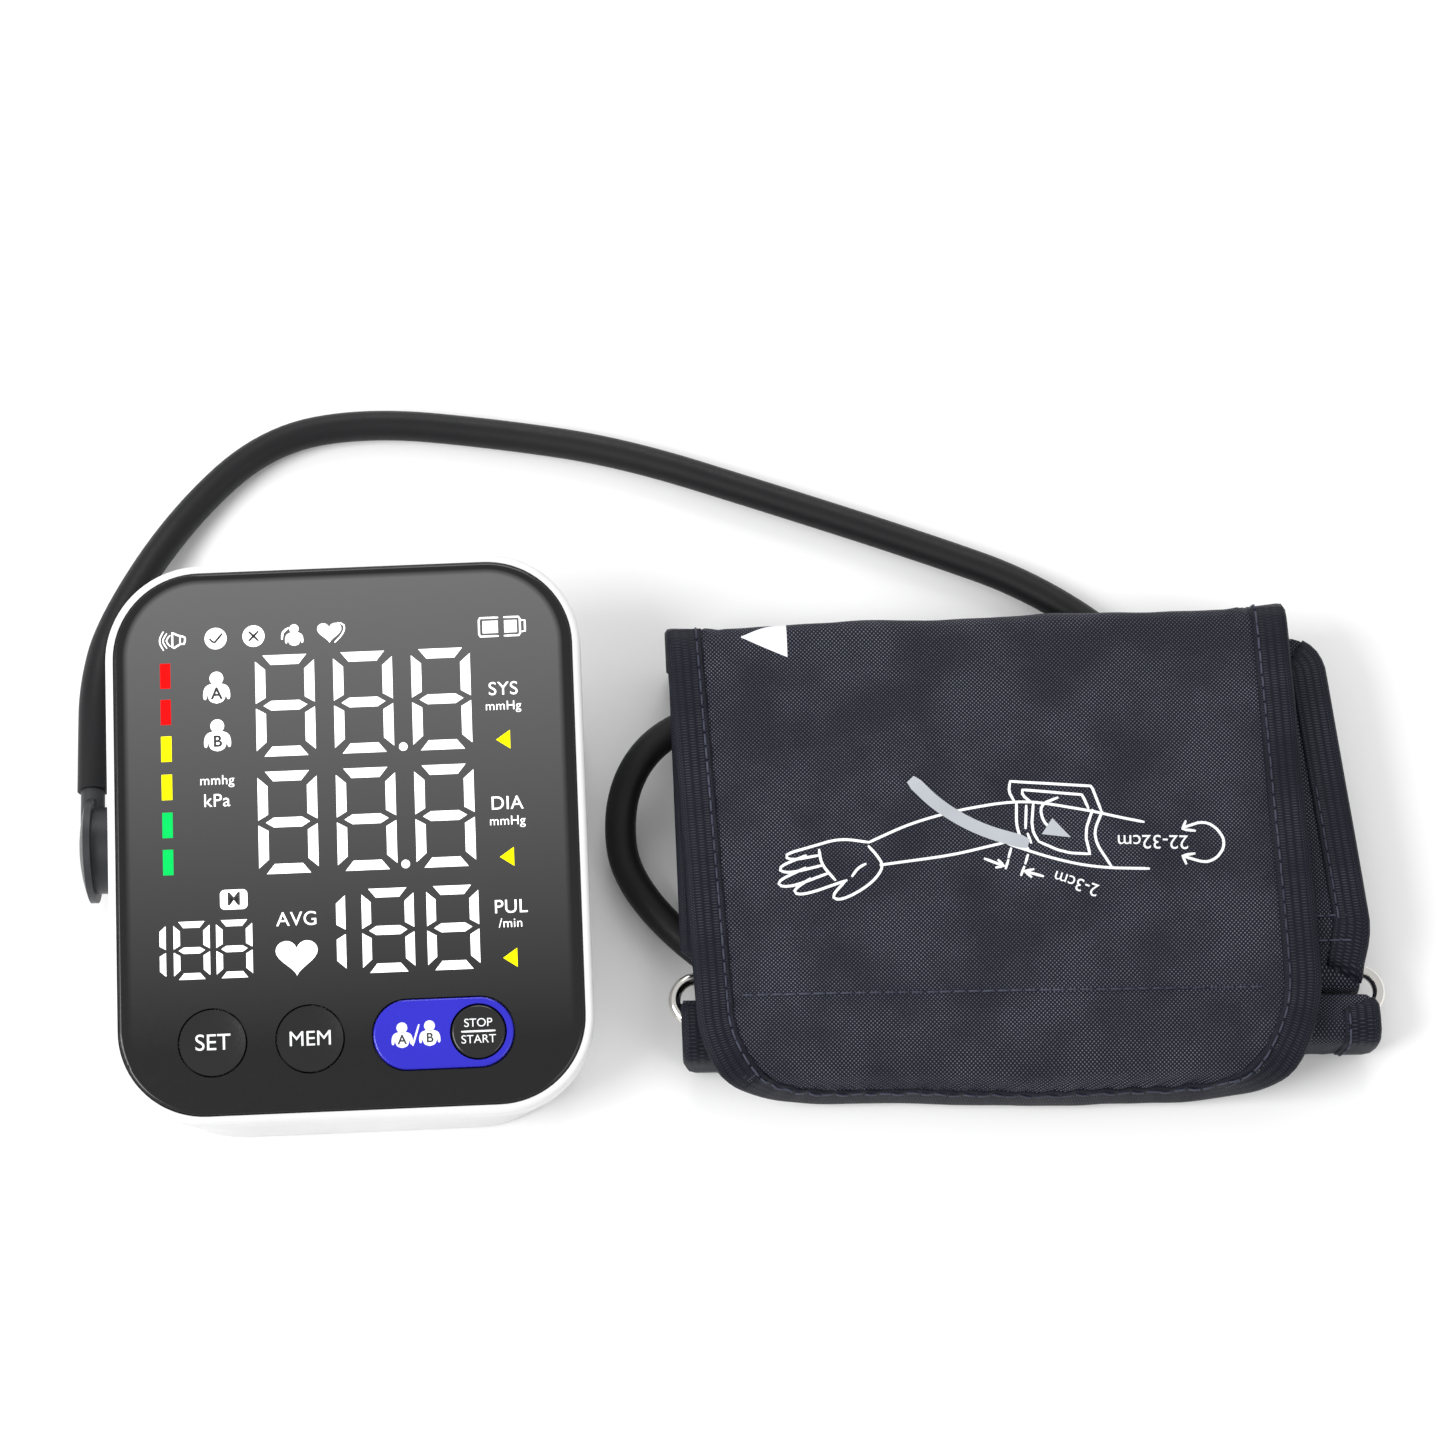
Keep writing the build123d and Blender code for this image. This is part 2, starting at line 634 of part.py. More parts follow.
# ---- cuff ----
def flap_outline():
    shape = Polygon(*FLAP_OUTLINE, align=None)
    near = shape.vertices().sort_by(Axis.Y)[:2]
    return fillet(near, FLAP_CORNER)


def flap_strip(thickness):
    strip = ribbon(FLAP_PATH, thickness, 60, 225, FLAP_BEND)
    return strip + rod_x(60, 225, *FLAP_PATH[0], thickness / 2)


def cuff_flap():
    return flap_strip(CLOTH) & extrude(flap_outline(), 60)


def flap_binding():
    """Edge tape on both faces of the flap, along its two sides and its free end."""
    far_y = FLAP_PATH[1][0]
    tape = ribbon(FLAP_PATH, CLOTH + 2 * BINDING_THICK, 60, 225, FLAP_BEND) - flap_strip(CLOTH)
    border = extrude(flap_outline(), 60) - extrude(offset(flap_outline(), -BINDING_WIDTH), 60)
    x0 = FLAP_OUTLINE[0][0] + BINDING_WIDTH
    x1 = FLAP_OUTLINE[3][0] - BINDING_WIDTH
    border -= block(x0, x1, far_y - 2, 60, -1, 61)
    return tape & border & block(60, 225, -70, far_y, -1, 61)


def hook_patch():
    (y0, z0), (y1, z1) = FLAP_PATH[2:4]
    slope = (z0 - z1) / (y0 - y1)
    drop = (CLOTH + HOOK_THICK) / 2 + 0.05
    path = [(y, z0 + slope * (y - y0) - drop * math.hypot(1, slope)) for y in (-30.5, -44.0)]
    return ribbon(path, HOOK_THICK, 88, 200)


def loop_outline(y0, y1):
    return [(LOOP_LEFT, y1), (LOOP_LEFT, y0), (LOOP_RIGHT_NEAR, y0), (LOOP_RIGHT_FAR, y1)]


def cuff_far_fold():
    fold = block(72, 211.3, 43.4, 47.4, 0, 22.9)
    fold = fillet(fold.edges().filter_by(Axis.X).sort_by(Axis.Z)[:2], 1.2)
    return fold - block(166, 192, 40, 50, -1, 7.7)


def cuff_back_layer():
    outline = [(75.5, 43.0), (75.5, -25.5), (FOLD_RIGHT - 2, -25.5), (211.3, 43.0)]
    return prism(outline, *BACK_Z)


def cuff_near_fold():
    fold = block(FOLD_LEFT, FOLD_RIGHT, -51.8, -46.9, 0, 15.2)
    fold = fillet(fold.edges().filter_by(Axis.X).sort_by(Axis.Y)[:2], 2.0)
    return fold + block(FOLD_LEFT + 6, FOLD_RIGHT - 6, -46.9, -38.5, 13.0, 15.2)


def cuff_lower_layer():
    layer = prism(loop_outline(-25.5, 37.0), *LOWER_Z)
    x0, x1 = BLADDER_X
    y0, y1 = BLADDER_Y
    layer -= block(x0 - 1, x1 + 1, y0 - 1, y1 + 1, BLADDER_Z[0] - 0.1, BLADDER_Z[1] + 0.1)
    end_x, end_y = HOSE_ROUTE[-1][:2]
    return layer - block(LOOP_LEFT - 5, x0, end_y - 8.5, end_y + 4.4, LOWER_Z[0] - 1, LOWER_Z[1] + 1)


def cuff_ring_layer():
    path = [(39.0, RING_LAYER_Z), (-27.5, RING_LAYER_Z), (-35.5, 15.3)]
    strip = ribbon(path, CLOTH - 0.2, 60, 240, 3.0)
    return strip & prism(loop_outline(-40.0, 39.0), 0, 40)


def loop_patch():
    top = RING_LAYER_Z + CLOTH / 2 - 0.1
    return block(86, 208, -20, 32, top, top + 0.6)


def bladder():
    body = block(*BLADDER_X, *BLADDER_Y, *BLADDER_Z)
    return fillet(body.edges().filter_by(Axis.Z), 6.0)


def cuff_port():
    x, y, z = HOSE_ROUTE[-1]
    port = rod_x(x, x + 2.2, y, z, 3.4) + rod_x(x + 2.2, BLADDER_X[0], y, z, 2.4)
    return port - rod_x(x + 0.5, BLADDER_X[0] + 1, y, z, 1.2)


def ring_sleeve():
    far_bar = RING_WIDTH / 2 - WIRE_R
    half = SLEEVE_LENGTH / 2
    sleeve = rod_x(-half, half, far_bar, 0, SLEEVE_R) - rod_x(-half - 1, half + 1, far_bar, 0, WIRE_R + 0.3)
    return RING_PLACE * sleeve


def cuff_ring():
    middle = SlotOverall(RING_LENGTH - 2 * WIRE_R, RING_WIDTH - 2 * WIRE_R)
    path = Wire(middle.edges())
    start = path @ 0
    wire = sweep(Plane(origin=start, z_dir=path % 0) * Circle(WIRE_R), path=path)
    return RING_PLACE * wire


def nodes():
    parts = {
        "front_panel": front_panel(),
        "panel_adhesive": panel_adhesive(),
        "front_bezel": front_bezel(),
        "rear_shell": rear_shell(),
        "rubber_pads": rubber_pads(),
        "case_screws": case_screws(),
        "set_button": round_key(SET_X),
        "mem_button": round_key(MEM_X),
        "user_button": user_button(),
        "start_button": start_button(),
        "tact_switches": tact_switches(),
        "display_reflector": display_reflector(),
        "display_diffuser": display_diffuser(),
        "led_chips": led_chips(),
        "main_board": main_board(),
        "board_screws": board_screws(),
        "processor_chip": processor_chip(),
        "pressure_sensor": pressure_sensor(),
        "pump_motor": pump_motor(),
        "pump_head": pump_head(),
        "pump_foam": pump_foam(),
        "exhaust_valve": exhaust_valve(),
        "air_tee": air_tee(),
        "air_tubes": air_tubes(),
        "air_socket": air_socket(),
        "speaker": speaker(),
        "usb_port": usb_port(),
        "batteries": batteries(),
        "battery_springs": battery_springs(),
        "battery_plates": battery_plates(),
        "battery_door": battery_door(),
        "plug_body": plug_body(),
        "plug_cap": plug_cap(),
        "plug_o_ring": plug_o_ring(),
        "hose_plug_end": hose_plug_end(),
        "hose_run": hose_run(),
        "cuff_flap": cuff_flap(),
        "flap_binding": flap_binding(),
        "hook_patch": hook_patch(),
        "cuff_far_fold": cuff_far_fold(),
        "cuff_back_layer": cuff_back_layer(),
        "cuff_near_fold": cuff_near_fold(),
        "cuff_lower_layer": cuff_lower_layer(),
        "cuff_ring_layer": cuff_ring_layer(),
        "loop_patch": loop_patch(),
        "bladder": bladder(),
        "cuff_port": cuff_port(),
        "ring_sleeve": ring_sleeve(),
        "cuff_ring": cuff_ring(),
    }
    for name, x in zip(("set", "mem", "user", "start"), SWITCH_XS):
        parts[name + "_plunger"] = plunger(x)
    return parts


os.makedirs("parts", exist_ok=True)
for node, shape in nodes().items():
    export_step(shape, f"parts/{node}.step")
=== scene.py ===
import math

import bmesh
import bpy
from mathutils import Matrix, Vector, noise


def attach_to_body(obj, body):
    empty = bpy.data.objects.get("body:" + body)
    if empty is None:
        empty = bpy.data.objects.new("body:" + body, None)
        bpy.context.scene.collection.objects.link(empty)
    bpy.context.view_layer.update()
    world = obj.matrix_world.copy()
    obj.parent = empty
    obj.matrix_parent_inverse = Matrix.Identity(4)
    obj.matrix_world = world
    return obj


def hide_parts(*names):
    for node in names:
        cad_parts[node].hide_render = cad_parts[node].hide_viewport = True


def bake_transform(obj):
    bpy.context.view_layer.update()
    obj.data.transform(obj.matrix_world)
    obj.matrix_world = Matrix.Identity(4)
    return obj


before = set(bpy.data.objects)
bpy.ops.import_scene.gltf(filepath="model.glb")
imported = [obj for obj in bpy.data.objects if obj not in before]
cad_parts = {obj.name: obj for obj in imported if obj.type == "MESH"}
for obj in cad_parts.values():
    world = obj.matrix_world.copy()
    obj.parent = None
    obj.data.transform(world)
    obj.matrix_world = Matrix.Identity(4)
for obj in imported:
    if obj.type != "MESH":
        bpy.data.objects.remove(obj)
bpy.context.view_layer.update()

MM = 0.001            # lengths below are millimetres, in the CAD frame
ROOT = "root"

# ---- camera ----
TARGET = Vector((84.05, 34.31, 0.0)) * MM
AZIMUTH = math.radians(-2.5)
ELEVATION = math.radians(70.0)
DISTANCE = 0.9655
LENS = 104.64
SENSOR = 36.0

# ---- hose: the same route points as the CAD ----
HOSE_R = 3.5
HOSE_ROUTE = [
    (-58.3, 18.7, 14.5), (-58.3, 30.3, 14.4), (-58.3, 44.0, 13.6), (-55.4, 60.5, 9.4),
    (-40.5, 88.3, 3.6), (-20.1, 107.9, 3.6), (4.0, 111.8, 3.6), (35.4, 107.2, 3.6),
    (63.5, 101.3, 3.6), (98.0, 88.0, 3.6), (131.0, 74.9, 3.6), (158.0, 63.2, 3.6),
    (181.0, 44.0, 3.6), (193.0, 17.0, 3.6), (186.0, -10.0, 3.6), (163.0, -26.0, 3.6),
    (134.0, -34.0, 3.6), (106.0, -36.0, 3.6), (82.0, -28.0, 3.6), (60.6, -5.6, 4.4),
    (59.2, 11.6, 8.8), (65.6, 24.2, 12.4), (78.4, 31.0, 13.8), (92.0, 31.0, 13.8),
]

# ---- monitor face: x to the right, y up the face, z out of it ----
FACE = Matrix.Translation((0, 0, 32)) @ Matrix.Rotation(math.radians(8), 4, "X")
INK_TOP = 0.035       # how far a print stands proud of its surface
INK_ROOT = -0.12

# ---- cuff ----
CLOTH = 2.2
BAND = 7.7            # width of the edge binding
BAND_THICK = 0.45
FLAP_LEFT = (72.0, 76.3)      # left edge at the far fold and at the near end
FLAP_RIGHT = (211.3, 212.3)
FLAP_FAR_Y = 49.0
FLAP_NEAR_Y = -60.0
FLAP_CORNERS = (28.0, 34.0)   # rounding of the free end, left and right, along the cloth
FLAP_SLANT = 0.032            # slope of the free end across the flap
LAYER_LEFT = 72.6
LAYER_RIGHT = (219.8, 224.4)  # right edge at the far side and at the near side
LAYER_Y = (-25.5, 37.0)
RING_MIDDLE_X = 148.5
RING_SKEW = 0.0295            # the wire ring's turn, as a slope


# ---- materials ----
def new_material(name):
    look = bpy.data.materials.new(name)
    look.use_nodes = True
    tree = look.node_tree
    return look, tree.nodes, tree.links, tree.nodes["Principled BSDF"]


def noise_of(nodes, links, coords, scale, detail=3.0):
    node = nodes.new("ShaderNodeTexNoise")
    node.inputs["Scale"].default_value = scale
    node.inputs["Detail"].default_value = detail
    links.new(coords, node.inputs["Vector"])
    return node.outputs["Fac"]


def ramp_of(nodes, links, factor, low, high, start=0.3, stop=0.7):
    node = nodes.new("ShaderNodeValToRGB")
    node.color_ramp.elements[0].position = start
    node.color_ramp.elements[1].position = stop
    node.color_ramp.elements[0].color = (*low, 1)
    node.color_ramp.elements[1].color = (*high, 1)
    links.new(factor, node.inputs["Fac"])
    return node.outputs["Color"]


def range_of(nodes, links, value, from_span, to_span):
    node = nodes.new("ShaderNodeMapRange")
    node.inputs["From Min"].default_value = from_span[0]
    node.inputs["From Max"].default_value = from_span[1]
    node.inputs["To Min"].default_value = to_span[0]
    node.inputs["To Max"].default_value = to_span[1]
    links.new(value, node.inputs["Value"])
    return node.outputs["Result"]


def math_of(nodes, links, kind, a, b=None):
    node = nodes.new("ShaderNodeMath")
    node.operation = kind
    links.new(a, node.inputs[0])
    if isinstance(b, float):
        node.inputs[1].default_value = b
    elif b is not None:
        links.new(b, node.inputs[1])
    return node.outputs[0]


def bump_of(nodes, links, shader, height, strength, distance):
    node = nodes.new("ShaderNodeBump")
    node.inputs["Strength"].default_value = strength
    node.inputs["Distance"].default_value = distance
    links.new(height, node.inputs["Height"])
    links.new(node.outputs["Normal"], shader.inputs["Normal"])


def moulded(name, low, high, rough, patch=30.0, grain=1500.0, bump=0.12, metallic=0.0, coat=0.0,
            shine=0.5):
    """Hard material: colour drifts between low and high, with fine grain in its gloss and relief."""
    look, nodes, links, shader = new_material(name)
    coords = nodes.new("ShaderNodeTexCoord").outputs["Object"]
    drift = noise_of(nodes, links, coords, patch)
    fine = noise_of(nodes, links, coords, grain)
    links.new(ramp_of(nodes, links, drift, low, high), shader.inputs["Base Color"])
    links.new(range_of(nodes, links, fine, (0.3, 0.7), rough), shader.inputs["Roughness"])
    bump_of(nodes, links, shader, fine, bump, 0.00005)
    shader.inputs["Metallic"].default_value = metallic
    shader.inputs["Specular IOR Level"].default_value = shine
    shader.inputs["Coat Weight"].default_value = coat
    shader.inputs["Coat Roughness"].default_value = 0.08
    return look


def glowing(name, colour, strength):
    """Lit display element: a diffused light with faintly uneven brightness."""
    look, nodes, links, shader = new_material(name)
    coords = nodes.new("ShaderNodeTexCoord").outputs["Object"]
    drift = noise_of(nodes, links, coords, 260.0)
    dim = tuple(0.88 * c for c in colour)
    tint = ramp_of(nodes, links, drift, dim, colour, 0.2, 0.8)
    links.new(tint, shader.inputs["Base Color"])
    links.new(tint, shader.inputs["Emission Color"])
    shader.inputs["Emission Strength"].default_value = strength
    shader.inputs["Roughness"].default_value = 0.4
    shader.inputs["Specular IOR Level"].default_value = 0.1
    return look


def smoked_panel():
    """Dark acrylic face with a painted reflection that lightens it towards its far end, and a black printed
    rim.
    """
    look, nodes, links, shader = new_material("smoked_panel")
    coords = nodes.new("ShaderNodeTexCoord").outputs["Object"]
    split = nodes.new("ShaderNodeSeparateXYZ")
    links.new(coords, split.inputs["Vector"])
    # painted reflection: the face is coloured lighter towards its far end, standing in for the studio light
    # mirrored in the gloss
    along = range_of(nodes, links, split.outputs["Y"], (-0.046, 0.060), (0.0, 1.0))
    # distance outside a rounded box one corner radius smaller than the panel
    gaps = []
    for axis, half in (("X", 0.0315), ("Y", 0.0412)):
        reach = math_of(nodes, links, "ABSOLUTE", split.outputs[axis])
        gaps.append(math_of(nodes, links, "MAXIMUM", math_of(nodes, links, "SUBTRACT", reach, half), 0.0))
    squares = [math_of(nodes, links, "POWER", gap, 2.0) for gap in gaps]
    far = math_of(nodes, links, "SQRT", math_of(nodes, links, "ADD", *squares))
    rim = range_of(nodes, links, far, (0.0160, 0.0173), (1.0, 0.0))
    reflection_share = math_of(nodes, links, "MULTIPLY", along, rim)
    tint = ramp_of(nodes, links, reflection_share, PANEL_DARK, PANEL_REFLECTION, 0.0, 1.0)
    links.new(tint, shader.inputs["Base Color"])
    fine = noise_of(nodes, links, coords, 700.0)
    links.new(range_of(nodes, links, fine, (0.3, 0.7), (0.22, 0.27)), shader.inputs["Roughness"])
    bump_of(nodes, links, shader, fine, 0.02, 0.00002)
    shader.inputs["Specular IOR Level"].default_value = 0.32
    shader.inputs["Coat Weight"].default_value = 0.2
    shader.inputs["Coat Roughness"].default_value = 0.12
    return look


def woven(name, thread, glint, pitch, relief, patchy=(0.05, 1.0), rough=0.62):
    """Plain weave on the piece's own cloth coordinates, with painted highlights on the thread crossings, in
    paler patches where threads catch light.
    """
    look, nodes, links, shader = new_material(name)
    coords = nodes.new("ShaderNodeTexCoord").outputs["UV"]
    split = nodes.new("ShaderNodeSeparateXYZ")
    links.new(coords, split.inputs["Vector"])
    waves = []
    for axis, size in zip("XY", pitch):
        turned = math_of(nodes, links, "MULTIPLY", split.outputs[axis], math.pi / (size * MM))
        waves.append(math_of(nodes, links, "SINE", turned))
    weave = math_of(nodes, links, "MULTIPLY", waves[0], waves[1])
    # painted highlights: the weave's raised crossings are coloured paler as glints, varied in patches
    glint_spots = range_of(nodes, links, weave, (0.15, 0.95), (0.0, 1.0))
    patches = range_of(nodes, links, noise_of(nodes, links, coords, 60.0), (0.38, 0.62), patchy)
    threads = range_of(nodes, links, noise_of(nodes, links, coords, 1400.0), (0.3, 0.7), (0.55, 1.0))
    glint_amount = math_of(nodes, links, "MULTIPLY", glint_spots, patches)
    glint_amount = math_of(nodes, links, "MULTIPLY", glint_amount, threads)
    links.new(ramp_of(nodes, links, glint_amount, thread, glint, 0.0, 1.0), shader.inputs["Base Color"])
    bump_of(nodes, links, shader, weave, relief, 0.00012)
    shader.inputs["Roughness"].default_value = rough
    shader.inputs["Specular IOR Level"].default_value = 0.14
    return look


def brushed_pile(name, low, high, grain, bump):
    """Hook or loop tape: a dense rough pile."""
    look, nodes, links, shader = new_material(name)
    coords = nodes.new("ShaderNodeTexCoord").outputs["UV"]
    fine = noise_of(nodes, links, coords, grain, 6.0)
    links.new(ramp_of(nodes, links, fine, low, high), shader.inputs["Base Color"])
    bump_of(nodes, links, shader, fine, bump, 0.0004)
    shader.inputs["Roughness"].default_value = 0.95
    shader.inputs["Specular IOR Level"].default_value = 0.1
    return look


PANEL_DARK = (0.003, 0.003, 0.003)
# the lighter panel colour is a painted reflection
PANEL_REFLECTION = (0.104, 0.104, 0.105)
NAVY = (0.0052, 0.0058, 0.0120)
# painted highlight colour for the oxford's glints
NAVY_GLINT = (0.190, 0.198, 0.245)
TAPE_NAVY = (0.0045, 0.0050, 0.0100)
# painted highlight colour for the binding tape's glints
TAPE_GLINT = (0.050, 0.053, 0.072)

LOOKS = {
    "panel": smoked_panel(),
    "white": moulded("white_abs", (0.64, 0.64, 0.64), (0.69, 0.69, 0.69), (0.30, 0.40), grain=2400.0),
    "black": moulded("black_key", (0.005, 0.005, 0.005), (0.010, 0.010, 0.010), (0.16, 0.22),
                     coat=0.3, shine=0.3),
    "blue": moulded("blue_key", (0.012, 0.010, 0.38), (0.018, 0.015, 0.46), (0.20, 0.27),
                    coat=0.3, shine=0.3),
    "plug": moulded("plug_plastic", (0.022, 0.023, 0.026), (0.036, 0.037, 0.041), (0.34, 0.46),
                    bump=0.3, shine=0.3),
    "hose": moulded("hose_silicone", (0.005, 0.005, 0.006), (0.010, 0.010, 0.011), (0.42, 0.56),
                    bump=0.35, shine=0.22),
    "rubber": moulded("rubber", (0.018, 0.018, 0.018), (0.035, 0.035, 0.035), (0.7, 0.85), bump=0.4),
    "nickel": moulded("nickel", (0.72, 0.70, 0.66), (0.80, 0.78, 0.74), (0.10, 0.18), metallic=1.0),
    "steel": moulded("steel", (0.45, 0.45, 0.46), (0.58, 0.58, 0.60), (0.25, 0.38), metallic=1.0),
    "board": moulded("circuit_board", (0.010, 0.090, 0.035), (0.016, 0.140, 0.050), (0.35, 0.5)),
    "chip": moulded("chip", (0.012, 0.012, 0.012), (0.022, 0.022, 0.022), (0.5, 0.65)),
    "diffuser": moulded("diffuser", (0.70, 0.70, 0.68), (0.78, 0.78, 0.76), (0.45, 0.6)),
    "tape": moulded("tape", (0.020, 0.020, 0.022), (0.040, 0.040, 0.042), (0.6, 0.8)),
    "foam": moulded("foam", (0.06, 0.06, 0.065), (0.11, 0.11, 0.115), (0.85, 0.95), grain=2600.0, bump=0.9),
    "tube": moulded("clear_silicone", (0.55, 0.56, 0.54), (0.68, 0.69, 0.66), (0.25, 0.35)),
    "cell": moulded("battery_wrap", (0.035, 0.11, 0.055), (0.050, 0.15, 0.075), (0.22, 0.32), coat=0.3),
    "weave": woven("navy_oxford", NAVY, NAVY_GLINT, (0.45, 0.45), 0.55, patchy=(0.45, 0.95)),
    "band": woven("binding_tape", TAPE_NAVY, TAPE_GLINT, (0.32, 0.85), 0.45, patchy=(0.3, 1.0), rough=0.5),
    "thread": moulded("thread", (0.018, 0.020, 0.036), (0.056, 0.060, 0.088), (0.45, 0.6),
                      grain=4000.0, bump=0.6, shine=0.2),
    "hook": brushed_pile("hook_tape", (0.006, 0.006, 0.008), (0.035, 0.035, 0.040), 2600.0, 1.0),
    "loop": brushed_pile("loop_tape", (0.010, 0.011, 0.016), (0.060, 0.062, 0.075), 1500.0, 1.0),
    "print": moulded("white_ink", (0.70, 0.71, 0.73), (0.84, 0.85, 0.86), (0.5, 0.7),
                     grain=3000.0, bump=0.5),
    "grey_print": moulded("grey_ink", (0.30, 0.32, 0.35), (0.44, 0.46, 0.50), (0.5, 0.7),
                          grain=3000.0, bump=0.5),
    "lit_white": glowing("lit_white", (1.0, 1.0, 1.0), 0.75),
    "lit_red": glowing("lit_red", (0.62, 0.001, 0.001), 0.45),
    "lit_yellow": glowing("lit_yellow", (1.0, 0.93, 0.0), 0.6),
    "lit_green": glowing("lit_green", (0.0, 0.52, 0.09), 0.35),
}

NODE_LOOKS = {
    "panel": ["front_panel"],
    "white": ["front_bezel", "rear_shell", "battery_door", "display_reflector", "air_tee"],
    "black": ["set_button", "mem_button", "start_button"],
    "blue": ["user_button"],
    "plug": ["plug_body", "plug_cap", "air_socket", "cuff_port", "speaker", "pump_head"],
    "rubber": ["rubber_pads", "plug_o_ring", "set_plunger", "mem_plunger", "user_plunger", "start_plunger"],
    "nickel": ["cuff_ring", "battery_springs", "battery_plates"],
    "steel": ["case_screws", "board_screws", "pump_motor", "usb_port"],
    "board": ["main_board"],
    "chip": ["processor_chip", "pressure_sensor", "tact_switches", "exhaust_valve"],
    "diffuser": ["display_diffuser", "led_chips"],
    "tape": ["panel_adhesive"],
    "foam": ["pump_foam"],
    "tube": ["air_tubes"],
    "cell": ["batteries"],
}
for key, names in NODE_LOOKS.items():
    for name in names:
        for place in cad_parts[name].material_slots:
            place.material = LOOKS[key]


# ---- mesh helpers ----
def build(name, points, faces, look, slot, cloth_points=None, smooth=True):
    """One mesh piece from points in millimetres; cloth_points gives their places on the flat cloth."""
    mesh = bpy.data.meshes.new(name)
    mesh.from_pydata([Vector(p) * MM for p in points], [], faces)
    work = bmesh.new()
    work.from_mesh(mesh)
    flat = work.verts.layers.float_vector.new("cloth_place")
    for vert, place in zip(work.verts, cloth_points or points):
        vert[flat] = Vector((place[0], place[1], 0)) * MM
    bmesh.ops.remove_doubles(work, verts=work.verts, dist=0.000001)
    bmesh.ops.dissolve_degenerate(work, edges=work.edges, dist=0.000001)
    bmesh.ops.recalc_face_normals(work, faces=work.faces)
    grid = work.loops.layers.uv.new("weave")
    for face in work.faces:
        face.smooth = smooth
        for corner in face.loops:
            corner[grid].uv = corner.vert[flat].xy
    work.verts.layers.float_vector.remove(flat)
    work.to_mesh(mesh)
    work.free()
    mesh.materials.append(LOOKS[look])
    piece = bpy.data.objects.new(name, mesh)
    bpy.context.scene.collection.objects.link(piece)
    return piece


def crease(piece, degrees=40):
    """Keeps sharp edges sharp on a smooth-shaded piece."""
    piece.data.set_sharp_from_angle(angle=math.radians(degrees))
    return piece


def cut_corners(points, rounds=3):
    """A smooth line inside the corners of the given one, with its ends kept."""
    line = [Vector(p) for p in points]
    for _ in range(rounds):
        softer = [line[0]]
        for a, b in zip(line, line[1:]):
            softer += [a.lerp(b, 0.25), a.lerp(b, 0.75)]
        line = softer + [line[-1]]
    return line


def spaced(points, step):
    """Points at even distances along a line."""
    line = [Vector(p) for p in points]
    lengths = [0.0]
    for a, b in zip(line, line[1:]):
        lengths.append(lengths[-1] + (b - a).length)
    count = max(1, round(lengths[-1] / step))
    result = []
    k = 0
    for i in range(count + 1):
        want = lengths[-1] * i / count
        while k < len(line) - 2 and lengths[k + 1] < want:
            k += 1
        run = max(1e-9, lengths[k + 1] - lengths[k])
        result.append(line[k].lerp(line[k + 1], (want - lengths[k]) / run))
    return result


def merge(parts):
    """Joins several (points, faces) lists into one."""
    points, faces = [], []
    for more_points, more_faces in parts:
        base = len(points)
        points += more_points
        faces += [tuple(base + i for i in face) for face in more_faces]
    return points, faces


def ring_faces(rows, count, capped=True):
    """Faces between rows of points that each go once round, and a cap on both ends."""
    faces = []
    for r in range(rows - 1):
        for n in range(count):
            a, b = r * count + n, r * count + (n + 1) % count
            faces.append((a, b, b + count, a + count))
    if capped:
        last = (rows - 1) * count
        faces += [tuple(range(count))[::-1], tuple(range(last, last + count))]
    return faces


def prism(outline, low, high):
    """Solid slab between heights low and high over a convex or simple outline, kept as one cap face."""
    count = len(outline)
    points = [(x, y, low) for x, y in outline] + [(x, y, high) for x, y in outline]
    faces = [tuple(range(count))[::-1], tuple(range(count, 2 * count))]
    faces += [(i, (i + 1) % count, count + (i + 1) % count, count + i) for i in range(count)]
    return points, faces


def stroke(points, width, low, high, rounds=2, step=0.7):
    """Drawn line of even width along a smoothed polyline."""
    line = spaced(cut_corners([Vector((*p, 0)) for p in points], rounds), step)
    half = width / 2
    rows = []
    for i, here in enumerate(line):
        ahead = line[min(i + 1, len(line) - 1)] - line[max(i - 1, 0)]
        ahead = ahead.normalized()
        side = Vector((-ahead.y, ahead.x, 0)) * half
        if i in (0, len(line) - 1):
            here = here + ahead * (half * 0.6 if i else -half * 0.6)
            side = side * 0.7
        rows.append((here + side, here - side))
    points = []
    for a, b in rows:
        points += [(a.x, a.y, low), (b.x, b.y, low), (b.x, b.y, high), (a.x, a.y, high)]
    return points, ring_faces(len(rows), 4)


def lettering(text, height, low, high, spacing=1.0, bold=0.0):
    """Text solid centred on the origin, with capitals of the given height. bold widens every stroke."""
    curve = bpy.data.curves.new("text", "FONT")
    curve.body = text
    curve.size = height / 0.73
    curve.space_character = spacing
    curve.align_x = "CENTER"
    curve.align_y = "CENTER"
    curve.extrude = 0.5
    curve.offset = bold
    holder = bpy.data.objects.new("text", curve)
    bpy.context.scene.collection.objects.link(holder)
    bpy.context.view_layer.update()
    mesh = bpy.data.meshes.new_from_object(holder.evaluated_get(bpy.context.evaluated_depsgraph_get()))
    points = [(v.co.x, v.co.y, high if v.co.z > 0 else low) for v in mesh.vertices]
    faces = [tuple(f.vertices) for f in mesh.polygons]
    bpy.data.objects.remove(holder)
    bpy.data.curves.remove(curve)
    bpy.data.meshes.remove(mesh)
    return points, faces


def placed(part, x, y, turn=0.0, scale=1.0, lift=0.0):
    """A flat part moved, turned and scaled in its plane."""
    c, s = math.cos(math.radians(turn)) * scale, math.sin(math.radians(turn)) * scale
    return [(x + px * c - py * s, y + px * s + py * c, pz + lift) for px, py, pz in part[0]], part[1]


